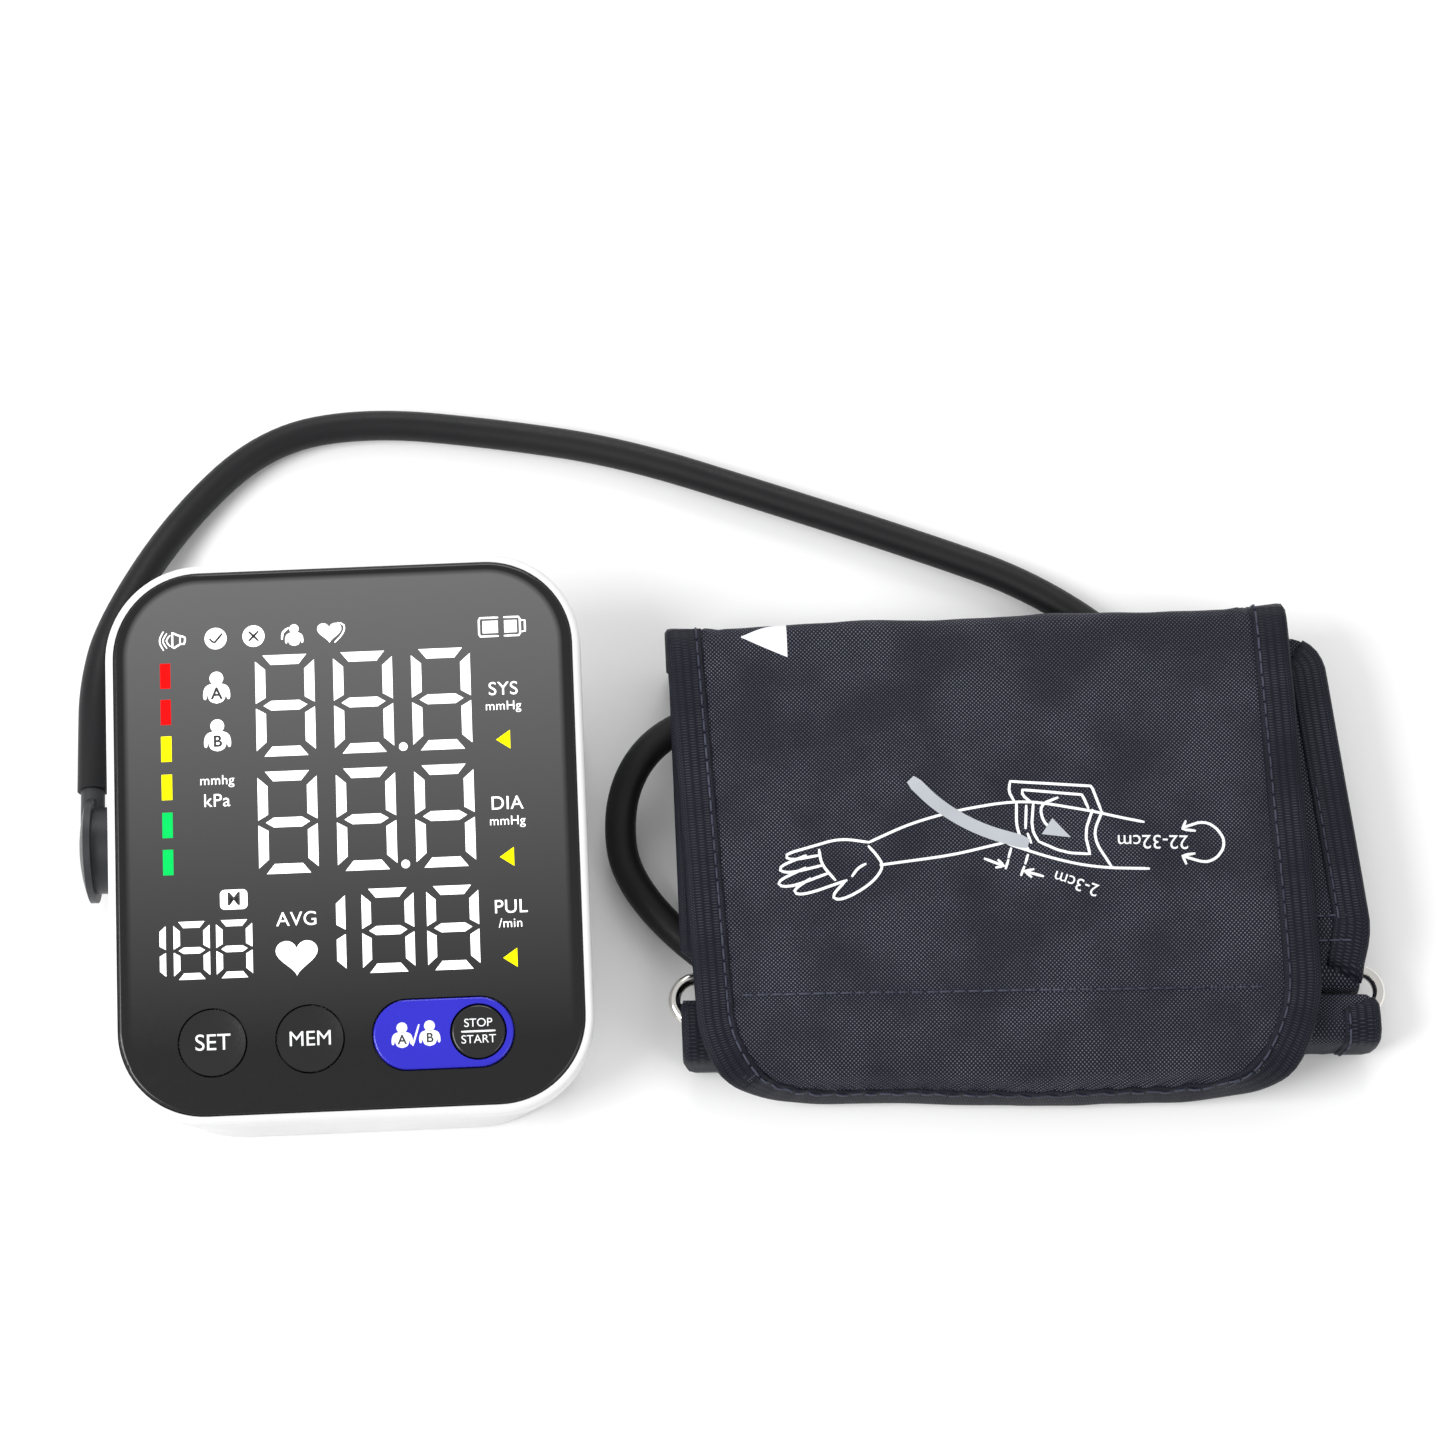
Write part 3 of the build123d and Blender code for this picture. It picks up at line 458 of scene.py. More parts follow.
# ---- hose ----
def spline_points(name, route):
    """The line of the smooth curve that has the route as its control points."""
    curve = bpy.data.curves.new(name, "CURVE")
    curve.dimensions = "3D"
    curve.resolution_u = 10
    spline = curve.splines.new("NURBS")
    spline.points.add(len(route) - 1)
    for point, place in zip(spline.points, route):
        point.co = (*(Vector(place) * MM), 1)
    spline.order_u = 3
    spline.use_endpoint_u = True
    holder = bpy.data.objects.new(name, curve)
    bpy.context.scene.collection.objects.link(holder)
    mesh = bpy.data.meshes.new_from_object(holder.evaluated_get(bpy.context.evaluated_depsgraph_get()))
    line = [v.co / MM for v in mesh.vertices]
    bpy.data.objects.remove(holder)
    bpy.data.curves.remove(curve)
    bpy.data.meshes.remove(mesh)
    return line


def tube(line, radii, sides=20):
    """Round tube along a line, closed at both ends. radii gives one radius for each point."""
    points = []
    side = Vector((0, 0, 1))
    for i, here in enumerate(line):
        ahead = (line[min(i + 1, len(line) - 1)] - line[max(i - 1, 0)]).normalized()
        side = (side - ahead * side.dot(ahead)).normalized()
        other = ahead.cross(side)
        for k in range(sides):
            angle = 2 * math.pi * k / sides
            points.append(here + (side * math.cos(angle) + other * math.sin(angle)) * radii[i])
    return points, ring_faces(len(line), sides)


hose_line = spline_points("hose_route", HOSE_ROUTE)
hose = crease(build("air_hose", *tube(hose_line, [HOSE_R] * len(hose_line), 28), "hose", "hose"))
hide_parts("hose_plug_end", "hose_run")
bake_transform(hose)


# ---- display prints ----
SYS_ROW_Y = 18.3
DIA_ROW_Y = -8.0
ROW_HEIGHT = 22.9
DIGIT_X = [-19.4, -2.14, 15.12]
DIGIT_WIDTH = 13.05


def mirrored(outline, axis_x):
    return [(2 * axis_x - x, y) for x, y in reversed(outline)]


def flipped(outline, axis_y):
    return [(x, 2 * axis_y - y) for x, y in reversed(outline)]


def digit(x, y, width, height, bar, only_right=False):
    """Seven-segment digit with its lower left corner at x, y."""
    mid_x, mid_y, top = x + width / 2, y + height / 2, y + height
    right_side = [
        (x + width, top - 0.6 * bar), (x + width, mid_y + 0.24 * bar),
        (x + width - bar, mid_y + 0.82 * bar), (x + width - bar, top - 1.48 * bar),
    ]
    sides = [right_side, flipped(right_side, mid_y)]
    if only_right:
        return [prism(o, INK_ROOT, INK_TOP) for o in sides]
    sides += [mirrored(o, mid_x) for o in sides]
    inset = 0.76 * bar
    cap = [
        (x + inset, top), (x + width - inset, top),
        (x + width - inset - 0.8 * bar, top - bar), (x + inset + 0.8 * bar, top - bar),
    ]
    middle = [
        (x + inset, mid_y), (x + inset + 0.8 * bar, mid_y + bar / 2),
        (x + width - inset - 0.8 * bar, mid_y + bar / 2), (x + width - inset, mid_y),
        (x + width - inset - 0.8 * bar, mid_y - bar / 2), (x + inset + 0.8 * bar, mid_y - bar / 2),
    ]
    return [prism(o, INK_ROOT, INK_TOP) for o in sides + [cap, flipped(cap, mid_y), middle]]


def disc(x, y, radius, low=INK_ROOT, high=INK_TOP, squash=1.0):
    ring = [2 * math.pi * k / 28 for k in range(28)]
    return prism([(x + radius * math.cos(a), y + squash * radius * math.sin(a)) for a in ring], low, high)


def rounded_box(x, y, width, height, corner, low=INK_ROOT, high=INK_TOP):
    outline = []
    for cx, cy, first in ((1, 1, 0), (-1, 1, 90), (-1, -1, 180), (1, -1, 270)):
        for step in range(5):
            a = math.radians(first + 22.5 * step)
            outline.append((
                x + cx * (width / 2 - corner) + corner * math.cos(a),
                y + cy * (height / 2 - corner) + corner * math.sin(a),
            ))
    return prism(outline, low, high)


def heart(x, y, width):
    outline = []
    for k in range(40):
        a = 2 * math.pi * k / 40
        outline.append((
            x + width / 32 * 16 * math.sin(a) ** 3,
            y + width / 34 * (13 * math.cos(a) - 5 * math.cos(2 * a)
                              - 2 * math.cos(3 * a) - math.cos(4 * a)),
        ))
    return prism(outline, INK_ROOT, INK_TOP)


def person(x, y, height):
    """Head and shoulders sign."""
    half = [(0, 0.9), (1.2, 0.85), (2.5, 0.3), (3.0, -1.1), (2.95, -2.7), (2.3, -2.8), (2.05, -1.4),
            (1.85, -2.5), (1.3, -3.3), (0, -3.65)]
    scale = height / 7.2
    right = [Vector((px, py)) for px, py in half]
    soft = cut_corners(right, 2)
    outline = [(p.x, p.y) for p in soft] + [(-p.x, p.y) for p in reversed(soft[1:-1])]
    outline = [(x + scale * px, y + scale * py) for px, py in outline]
    return [prism(outline, INK_ROOT, INK_TOP), disc(x, y + 2.05 * scale, 1.52 * scale)]


def line_of(points, width, rounds=0):
    return stroke(points, width, INK_ROOT, INK_TOP, rounds, 0.8)


def on_face(name, parts, look, slot="panel", body=ROOT, host=None):
    """A flat print laid on the monitor's face, or on the top of a key."""
    points, faces = merge(parts)
    drop = host_height(host) if host else None
    moved = []
    for x, y, z in points:
        base = drop(x, y) if drop else 0.0
        moved.append(FACE @ Vector((x, y, z + base)))
    piece = build(name, moved, faces, look, slot, smooth=False)
    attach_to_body(piece, body)
    return piece


def host_height(names):
    """Looks down on CAD nodes along the face's normal and returns the height of their surface."""
    normal = (FACE.to_3x3() @ Vector((0, 0, 1))).normalized()
    nodes = [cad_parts[n] for n in names]

    def height(x, y):
        start = FACE @ Vector((x, y, 5.0))
        for node in nodes:
            hit, place, _, _ = node.ray_cast(start * MM, -normal)
            if hit:
                return 5.0 - (place / MM - start).length
        return 0.0

    return height


white_parts = []
for x in DIGIT_X:
    for row in (SYS_ROW_Y, DIA_ROW_Y):
        white_parts += digit(x, row, DIGIT_WIDTH, ROW_HEIGHT, 2.2)
white_parts += digit(-3.4, -30.8, 2.6, 18.6, 2.0, only_right=True)
for x in (2.8, 17.0):
    white_parts += digit(x, -30.8, 11.4, 18.6, 2.0)
white_parts += digit(-41.7, -30.6, 1.6, 12.8, 1.35, only_right=True)
for x in (-38.4, -29.1):
    white_parts += digit(x, -30.6, 7.9, 12.8, 1.4)
white_parts += [disc(12.9, 19.3, 0.95), disc(12.7, -7.0, 0.95), heart(-11.6, -26.2, 9.2)]
white_parts += [rounded_box(-25.1, -13.3, 6.0, 4.4, 1.0), disc(-28.0, 45.5, 2.45), disc(-19.6, 45.7, 2.45)]
white_parts += person(-28.0, 34.4, 7.2) + person(-28.0, 23.6, 7.2)
FACE_LABELS = (
    ("SYS", 35.3, 31.4, 3.1), ("mmHg", 35.2, 27.6, 2.1), ("DIA", 35.3, 5.6, 3.1), ("mmHg", 35.3, 1.7, 2.1),
    ("PUL", 35.4, -17.5, 3.1), ("/min", 35.3, -21.1, 2.1), ("mmhg", -28.3, 13.4, 2.2),
    ("kPa", -28.4, 8.8, 3.0),
    ("AVG", -11.4, -18.3, 3.2),
)
for text, x, y, height in FACE_LABELS:
    white_parts.append(placed(lettering(text, height, INK_ROOT, INK_TOP, 1.05), x, y))
# speaker, arm sign, double heart and battery in the top row
for i in range(3):
    reach = 1.55 - 0.32 * i
    white_parts.append(line_of([(-39.6 + 0.75 * i, 45.4 + reach * 1.35), (-40.7 + 0.75 * i, 45.4),
                                (-39.6 + 0.75 * i, 45.4 - reach * 1.35)], 0.32, 2))
white_parts.append(line_of([(-37.6, 47.2), (-37.6, 43.5), (-35.8, 44.6), (-34.8, 44.6), (-34.8, 46.3),
                            (-35.8, 46.3), (-37.6, 47.2)], 0.42))
white_parts.append(line_of([(-35.9, 46.2), (-35.9, 44.7)], 0.35))
white_parts += person(-10.6, 45.6, 4.9)
white_parts.append(line_of([(-13.3, 44.8), (-13.2, 46.4), (-11.9, 47.2)], 0.5, 2))
white_parts.append(heart(-2.8, 46.1, 5.4))
white_parts.append(line_of([(-0.9, 48.0), (0.7, 47.6), (0.4, 45.6), (-1.6, 43.6)], 0.36, 2))
white_parts += [prism([(x0, 44.2), (x1, 44.2), (x1, 47.0), (x0, 47.0)], INK_ROOT, INK_TOP)
                for x0, x1 in ((31.2, 34.6), (36.0, 38.8))]
white_parts.append(line_of([(34.6, 47.7), (30.4, 47.7), (30.4, 43.5), (34.6, 43.5)], 0.42))
white_parts.append(line_of([(36.0, 47.7), (39.5, 47.7), (39.5, 43.5), (36.0, 43.5)], 0.42))
white_parts.append(line_of([(39.9, 46.9), (40.6, 46.9), (40.6, 44.3), (39.9, 44.3)], 0.42))
on_face("display_white", white_parts, "lit_white")


def bars(*centres):
    return [prism([(-40.45, y - 2.85), (-38.15, y - 2.85), (-38.15, y + 2.85), (-40.45, y + 2.85)],
                  INK_ROOT, INK_TOP) for y in centres]


on_face("level_red", bars(37.4, 29.2), "lit_red")
arrows = [prism([(36.5, y - 2.1), (36.5, y + 2.1), (33.4, y)], INK_ROOT, INK_TOP)
          for y in (20.0, -6.3, -28.7)]
on_face("level_yellow", bars(20.9, 12.3) + arrows, "lit_yellow")
on_face("level_green", bars(3.8, -4.5), "lit_green")

KNOCK = (INK_TOP - 0.01, INK_TOP + 0.03)   # dark marks on the lit signs
dark_parts = [placed(lettering("A", 2.7, *KNOCK, bold=0.09), -28.0, 32.9),
              placed(lettering("B", 2.6, *KNOCK, bold=0.09), -28.0, 22.1)]
dark_parts.append(placed(lettering("M", 3.0, *KNOCK, bold=0.05), -25.1, -13.3))
dark_parts.append(stroke([(-29.3, 45.4), (-28.4, 44.4), (-26.6, 46.5)], 0.5, *KNOCK, 0, 0.8))
dark_parts.append(stroke([(-20.6, 44.7), (-18.6, 46.7)], 0.5, *KNOCK, 0, 0.8))
dark_parts.append(stroke([(-20.6, 46.7), (-18.6, 44.7)], 0.5, *KNOCK, 0, 0.8))
on_face("display_dark", dark_parts, "chip")

# ---- key prints ----
KEY_Y = -44.7
on_face("set_print", [placed(lettering("SET", 3.7, INK_ROOT, INK_TOP), -30.3, KEY_Y)],
        "print", "black_key", "set_key", ["set_button"])
on_face("mem_print", [placed(lettering("MEM", 3.4, INK_ROOT, INK_TOP), -9.1, KEY_Y)],
        "print", "black_key", "mem_key", ["mem_button"])
start_parts = [placed(lettering("STOP", 1.9, INK_ROOT, INK_TOP), 27.5, KEY_Y + 1.85),
               placed(lettering("START", 1.9, INK_ROOT, INK_TOP), 27.5, KEY_Y - 1.75),
               placed(line_of([(-3.6, 0), (3.6, 0)], 0.42), 27.5, KEY_Y + 0.05)]
on_face("start_print", start_parts, "print", "black_key", "start_key", ["start_button"])
user_parts = person(10.9, KEY_Y - 0.1, 5.6) + person(16.9, KEY_Y + 0.1, 5.6)
user_parts.append(line_of([(13.2, KEY_Y - 2.4), (14.6, KEY_Y + 2.0)], 0.42))
on_face("user_print", user_parts, "print", "blue_key", "user_key", ["user_button"])
user_dark = [placed(lettering("A", 2.1, *KNOCK, bold=0.05), 10.9, KEY_Y - 1.2),
             placed(lettering("B", 2.1, *KNOCK, bold=0.05), 16.9, KEY_Y - 1.0)]
on_face("user_letters", user_dark, "chip", "blue_key", "user_key", ["user_button"])


# ---- cuff cloth ----
class Cloth:
    """A strip of cloth that runs along a line in the YZ plane, from edge to edge in X.

    left and right give an edge's X from the line's y and z and the distance along the cloth.
    lift moves each finished point.
    """

    def __init__(self, line, left, right, thick=CLOTH, wave=0.35, seed=0.0, lift=None, step=1.5):
        self.line = spaced(cut_corners([Vector(p) for p in line], 4), 0.5)
        self.length = sum((b - a).length for a, b in zip(self.line, self.line[1:]))
        self.pitch = self.length / (len(self.line) - 1)
        self.left = left
        self.right = right
        self.thick = thick
        self.wave = wave
        self.seed = seed
        self.lift = lift
        self.step = step

    def at_line(self, s):
        """(y, z) and the unit direction of the line at distance s, carried straight on past its ends."""
        k = min(max(int(s / self.pitch), 0), len(self.line) - 2)
        a, b = self.line[k], self.line[k + 1]
        direction = (self.line[min(k + 2, len(self.line) - 1)] - self.line[max(k - 1, 0)]).normalized()
        return a + (b - a) * ((s - k * self.pitch) / self.pitch), direction

    def edges(self, s):
        here, _ = self.at_line(s)
        return self.left(here.x, here.y, s), self.right(here.x, here.y, s)

    def place(self, x, s, h):
        """Point on the cloth: x across, s along it, h out from its middle."""
        here, direction = self.at_line(s)
        normal = Vector((direction.y, -direction.x))
        left, right = self.edges(min(max(s, 0), self.length))
        inside = min(x - left, right - x, self.length - s)
        swell = self.wave * noise.noise(Vector((x * 0.030, s * 0.036, self.seed)))
        swell += 0.35 * self.wave * noise.noise(Vector((x * 0.11, s * 0.11, self.seed + 5)))
        ruck = math.exp(-((inside - BAND - 1.2) / 3.2) ** 2)
        drift = 1.7 * noise.noise(Vector((x * 0.06, s * 0.06, 9)))
        swell += 0.42 * self.wave * ruck * math.sin((s + x) * 1.05 + drift)
        spot = here + normal * (h + swell)
        point = Vector((x, spot.x, spot.y))
        return self.lift(point) if self.lift else point

    def s_of_y(self, y, start=0.0):
        """Distance along the line where it passes y, looking on from start and towards -Y."""
        k = int(start / self.pitch)
        while k < len(self.line) - 2 and self.line[k + 1].x > y:
            k += 1
        a, b = self.line[k], self.line[k + 1]
        return (k + (y - a.x) / min(b.x - a.x, -1e-6)) * self.pitch

    def shell(self, rim=1.1):
        """Closed solid of the cloth, with rounded edges."""
        def stops(length):
            inner = length - 2 * rim
            count = max(2, round(inner / self.step))
            middle = [rim + inner * i / count for i in range(count + 1)]
            full = [0.0, 0.3 * rim] + middle + [length - 0.3 * rim, length]
            share = [0.0, 0.72] + [1.0] * len(middle) + [0.72, 0.0]
            return full, share

        rows, row_share = stops(self.length)
        middle_left, middle_right = self.edges(self.length / 2)
        columns, column_share = stops(middle_right - middle_left)
        width = columns[-1]
        points, flat = [], []
        ring = list(range(len(columns))) + list(range(len(columns) - 2, 0, -1))
        for s, share in zip(rows, row_share):
            left, right = self.edges(s)
            for n, c in enumerate(ring):
                x = left + (right - left) * columns[c] / width
                side = 1 if n < len(columns) else -1
                h = side * self.thick / 2 * min(share, column_share[c])
                points.append(self.place(x, s, h))
                flat.append((x, s))
        return points, ring_faces(len(rows), len(ring), False), flat

    def outline(self, first, last, across_end=True):
        """Points (x, s) down the left edge and up the right: one line round the near end, or two."""
        steps = [first + (last - first) * i / 400 for i in range(401)]
        left = [Vector((self.edges(s)[0], s)) for s in steps]
        right = [Vector((self.edges(s)[1], s)) for s in reversed(steps)]
        if across_end:
            return [spaced(left + right, 2.0)]
        return [spaced(left, 2.0), spaced(right, 2.0)]

    def band(self, edge, width=BAND):
        """Binding tape folded over an edge given as points (x, s)."""
        top = self.thick / 2 + BAND_THICK
        profile = [
            (width, self.thick / 2 - 0.2), (width, top - 0.12), (width - 0.6, top),
            (1.2, top), (0.1, top - 0.15), (-0.5, self.thick / 4),
            (-0.5, -self.thick / 4), (0.1, -top + 0.15), (1.2, -top),
            (width - 0.6, -top), (width, -top + 0.12), (width, 0.2 - self.thick / 2),
        ]
        points, flat = [], []
        run = 0.0
        for i, here in enumerate(edge):
            inward = self.inward(edge, i)
            run += (here - edge[i - 1]).length if i else 0.0
            for n, (d, h) in enumerate(profile):
                spot = here + inward * d
                points.append(self.place(spot.x, spot.y, h))
                flat.append((run, d + 3 * n))
        return points, ring_faces(len(edge), len(profile)), flat

    @staticmethod
    def inward(edge, i):
        ahead = (edge[min(i + 1, len(edge) - 1)] - edge[max(i - 1, 0)]).normalized()
        return Vector((ahead.y, -ahead.x))

    def inset(self, edge, distance):
        return [here + self.inward(edge, i) * distance for i, here in enumerate(edge)]

    def stitches(self, path, h, pitch=3.1, stitch=2.2, radius=0.26):
        """Thread lying along a path of points (x, s) at height h, in even stitches."""
        parts = []
        fine = spaced(path, 0.4)
        count = int((len(fine) - 1) * 0.4 / pitch)
        for k in range(count):
            i = round(k * pitch / 0.4)
            j = min(i + round(stitch / 0.4), len(fine) - 1)
            m = (i + j) // 2
            spine = [self.place(*fine[i], h - 0.22), self.place(*fine[i], h + 0.08),
                     self.place(*fine[m], h + 0.16), self.place(*fine[j], h + 0.08),
                     self.place(*fine[j], h - 0.22)]
            parts.append(tube(spine, [0.7 * radius, radius, radius, radius, 0.7 * radius], 6))
        return merge(parts)


def attach(piece, blended):
    """Flap pieces, which run across the far fold, keep their place with their transform applied and join no
    body; the rest stay with the cuff body.
    """
    if blended:
        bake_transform(piece)
    else:
        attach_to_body(piece, ROOT)
    return piece


def sew(name, solid, look, slot, blended=False, smooth=True):
    """Builds a cloth piece from its points, faces and places on the flat cloth, and attaches it."""
    points, faces, flat = solid
    return attach(build(name, points, faces, look, slot, flat, smooth), blended)


def slide(pair, share):
    return pair[0] + (pair[1] - pair[0]) * share


def rounding(distance, corner):
    """How far an edge draws in, at this distance from a rounded end."""
    if distance >= corner:
        return 0.0
    gap = corner - max(distance, 0.0)
    return corner - math.sqrt(max(corner ** 2 - gap ** 2, 0.0))


def flap_left(y, z, s):
    share = (FLAP_FAR_Y - y) / (FLAP_FAR_Y - FLAP_NEAR_Y)
    return slide(FLAP_LEFT, share) + rounding(flap.length - s, FLAP_CORNERS[0])


def flap_right(y, z, s):
    share = (FLAP_FAR_Y - y) / (FLAP_FAR_Y - FLAP_NEAR_Y)
    return slide(FLAP_RIGHT, share) - rounding(flap.length - s, FLAP_CORNERS[1])


def flap_lie(point):
    """The free end slants towards the right; the far fold arches over the hose that runs in under it."""
    slant = FLAP_SLANT * min(max((-25.0 - point.y) / 33.0, 0.0), 1.0)
    point = Vector((point.x, point.y - slant * (point.x - 140.0), point.z))
    reach = 1 - ((point.x - 179.5) / 15.5) ** 2
    if reach <= 0 or point.y < 30 or point.z > 14:
        return point
    floor = 8.9 * math.sqrt(reach)
    if point.z >= floor + 3:
        return point
    share = max(point.z, 0.0) / (floor + 3)
    return Vector((point.x, point.y, floor + 3 * share))


FLAP_LINE = [(36.0, 8.7), (39.0, 5.4), (42.0, 1.4), (47.4, 1.4), (47.6, 12.0), (48.6, 24.9), (38.0, 24.8),
             (-29.0, 22.5), (-45.0, 19.6), (-54.6, 17.2), (-56.9, 12.0), (-58.1, 2.6)]
flap = Cloth(FLAP_LINE, flap_left, flap_right, wave=0.9, seed=1.0, lift=flap_lie)
FOLD_S = flap.s_of_y(40.0, 25.0)      # where the cloth lies flat again past the far fold


def flap_s(y):
    return flap.s_of_y(y, FOLD_S)


flap_piece = sew("cuff_flap_cloth", flap.shell(), "weave", "cuff_cloth", True)
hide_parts("cuff_flap", "cuff_far_fold")
flap_edge = flap.outline(14.0, flap.length)[0]
flap_band = sew("flap_edge_binding", flap.band(flap_edge), "band", "binding", True)
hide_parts("flap_binding")
TOP = CLOTH / 2
flap_stitches = flap.stitches(flap.inset(flap_edge, BAND - 1.2), TOP + BAND_THICK)
attach(build("flap_edge_stitches", *flap_stitches, "thread", "binding"), True)
cross = flap.stitches([Vector((85.3, flap_s(-37.9))), Vector((203.0, flap_s(-39.3)))], TOP)
attach(build("flap_cross_stitches", *cross, "thread", "binding"), True)


# ---- prints on the flap ----
def on_flap(name, parts, look):
    points, faces = merge(parts)
    moved = [flap.place(x, flap_s(y) if y < 40 else FOLD_S - (y - 40.0), TOP + z) for x, y, z in points]
    return attach(build(name, moved, faces, look, "cuff_cloth", smooth=False), True)


LINE = 0.62
CLOTH_INK = (-0.25, 0.05)
SIGN_LINES = [
    # arm
    ([(114.8, -4.2), (124.8, -0.1), (135.0, 2.5), (147.8, 4.3), (158.6, 2.6), (175.9, -2.2)], 2),
    ([(117.1, -9.5), (132.8, -8.0), (144.8, -5.4)], 2),
    ([(145.7, -5.8), (156.0, -9.9), (164.7, -12.2), (176.3, -12.9)], 2),
    # hand
    ([(114.8, -4.2), (108.5, -2.9), (102.1, -4.6), (95.6, -6.2), (97.3, -7.6), (103.5, -6.7)], 2),
    ([(100.7, -6.6), (93.9, -9.1), (96.4, -10.6), (104.3, -9.0)], 2),
    ([(100.5, -9.4), (93.4, -12.4), (96.2, -13.9), (105.4, -10.9)], 2),
    ([(101.4, -11.9), (97.0, -14.6), (99.5, -15.7), (109.4, -12.7)], 2),
    ([(109.0, -13.0), (105.6, -16.4), (108.2, -17.2), (114.6, -13.9), (117.9, -10.0), (116.5, -7.4),
      (114.7, -5.1)], 2),
    ([(103.7, -5.4), (104.0, -8.8), (106.9, -12.5)], 2),
    ([(113.8, -9.1), (112.0, -10.0), (110.7, -11.8)], 2),
    # wrapped cuff
    ([(148.1, 3.9), (147.6, -2.8), (150.2, -7.7)], 2),
    ([(147.6, 4.1), (146.5, 6.5), (147.0, 8.8)], 1),
    ([(147.0, 8.8), (165.0, 6.8), (166.7, 1.0)], 0),
    ([(166.9, 0.7), (164.2, -5.0), (168.0, -12.0)], 2),
    ([(151.3, 3.7), (149.5, 5.4), (149.6, 6.7)], 1),
    ([(149.6, 6.7), (162.8, 4.9), (163.9, 1.7)], 0),
    ([(151.8, 3.4), (151.0, -2.6), (152.4, -5.5)], 1),
    ([(152.4, -5.5), (157.9, -8.4), (163.5, -9.0)], 1),
    ([(163.5, -9.0), (162.7, -4.0), (164.8, 1.2)], 1),
    ([(150.2, 2.9), (149.7, -2.3)], 0),
    ([(150.1, -3.6), (150.7, -5.7)], 0),
    ([(157.3, 4.5), (153.2, 3.0), (153.6, -0.8), (155.4, -2.6)], 2),
    # measures
    ([(184.4, -3.9), (190.2, -2.2), (194.3, -7.6), (190.2, -12.6), (184.1, -10.4)], 2),
    ([(185.2, -2.4), (184.3, -4.3), (187.1, -4.7)], 0),
    ([(184.6, -12.1), (183.9, -10.2), (186.6, -9.9)], 0),
    ([(146.2, -6.8), (145.5, -8.9)], 0),
    ([(145.4, -9.5), (144.7, -11.4)], 0),
    ([(149.8, -8.5), (149.1, -10.5)], 0),
    ([(148.8, -11.2), (148.0, -13.1)], 0),
    ([(152.8, -13.6), (148.7, -12.2)], 0),
    ([(140.2, -9.0), (144.3, -10.8)], 0),
    ([(150.2, -13.6), (148.8, -12.2), (150.8, -11.9)], 0),
    ([(143.2, -9.4), (144.4, -10.8), (142.6, -11.1)], 0),
]
sign_parts = [stroke(points, LINE, *CLOTH_INK, rounds, 0.9) for points, rounds in SIGN_LINES]
sign_parts.append(placed(lettering("22-32cm", 3.3, *CLOTH_INK), 177.6, -6.7, 180 - 3))
sign_parts.append(placed(lettering("2-3cm", 3.0, *CLOTH_INK), 160.0, -15.5, 180 - 22))
on_flap("flap_sign", sign_parts, "print")
pointer = prism([(155.8, -0.2), (153.2, -3.8), (159.6, -4.9)], -0.25, 0.09)
tube_line = [(125.4, 9.4), (130.6, 3.6), (138.9, -2.0), (149.3, -5.6)]
on_flap("flap_sign_grey", [pointer, stroke(tube_line, 3.0, -0.25, 0.08, 2, 0.9)], "grey_print")


def blade(points, low, high):
    """Filled triangle with a point, cut into narrow strips so that it can lie on a bend."""
    tip, upper, lower = (Vector(p) for p in points)
    count = 10
    rows = []
    for i in range(count + 1):
        share = max(i / count, 0.02)
        a, b = tip.lerp(upper, share), tip.lerp(lower, share)
        rows.append([a.lerp(b, k / count) for k in range(count + 1)])
    solid = []
    for height in (low, high):
        solid += [(p.x, p.y, height) for row in rows for p in row]
    side = count + 1
    base = side * side
    faces = []
    for r in range(count):
        for c in range(count):
            a = r * side + c
            b = base + a
            faces += [(a, a + 1, a + side + 1, a + side), (b, b + side, b + side + 1, b + 1)]
        for c in (0, count):
            a = r * side + c
            faces.append((a, a + side, base + a + side, base + a))
    for r in (0, count):
        for c in range(count):
            a = r * side + c
            faces.append((a, a + 1, base + a + 1, base + a))
    return solid, faces


on_flap("index_mark", [blade([(88.5, 44.9), (99.0, 49.0), (98.9, 39.8)], -0.25, 0.05)], "print")

# ---- hook tape under the flap ----
def slab_on(cloth, x_span, s_span, h_span, step=2.0):
    """Thin rectangle that follows a cloth, between two heights."""
    x_count = round((x_span[1] - x_span[0]) / step)
    s_count = round((s_span[1] - s_span[0]) / step)
    ring = list(range(x_count + 1)) + list(range(x_count, -1, -1))
    points, flat = [], []
    for r in range(s_count + 1):
        s = s_span[0] + (s_span[1] - s_span[0]) * r / s_count
        for n, c in enumerate(ring):
            x = x_span[0] + (x_span[1] - x_span[0]) * c / x_count
            points.append(cloth.place(x, s, h_span[0] if n <= x_count else h_span[1]))
            flat.append((x, s))
    count = len(ring)
    faces = ring_faces(s_count + 1, count, False)
    for r in (0, s_count):
        for c in range(x_count):
            a = r * count
            faces.append((a + c, a + c + 1, a + count - 2 - c, a + count - 1 - c))
    return points, faces, flat


hook_solid = slab_on(flap, (88.0, 200.0), (flap_s(-30.5), flap_s(-44.0)), (-TOP + 0.2, -TOP - 0.75))
hook = sew("hook_tape", hook_solid, "hook", "hook", True, smooth=False)
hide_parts("hook_patch")


# ---- layers under the flap ----
def layer_left(y, z, s):
    return LAYER_LEFT


def layer_right(y, z, s):
    share = (LAYER_Y[1] - y) / (LAYER_Y[1] - LAYER_Y[0])
    return slide(LAYER_RIGHT, min(max(share, 0.0), 1.0)) - rounding(LAYER_Y[1] + 2.5 - y, 7.0)


def ring_left(y, z, s):
    return LAYER_LEFT + 5.0 * min(max((-27.5 - y) / 4.0, 0.0), 1.0)


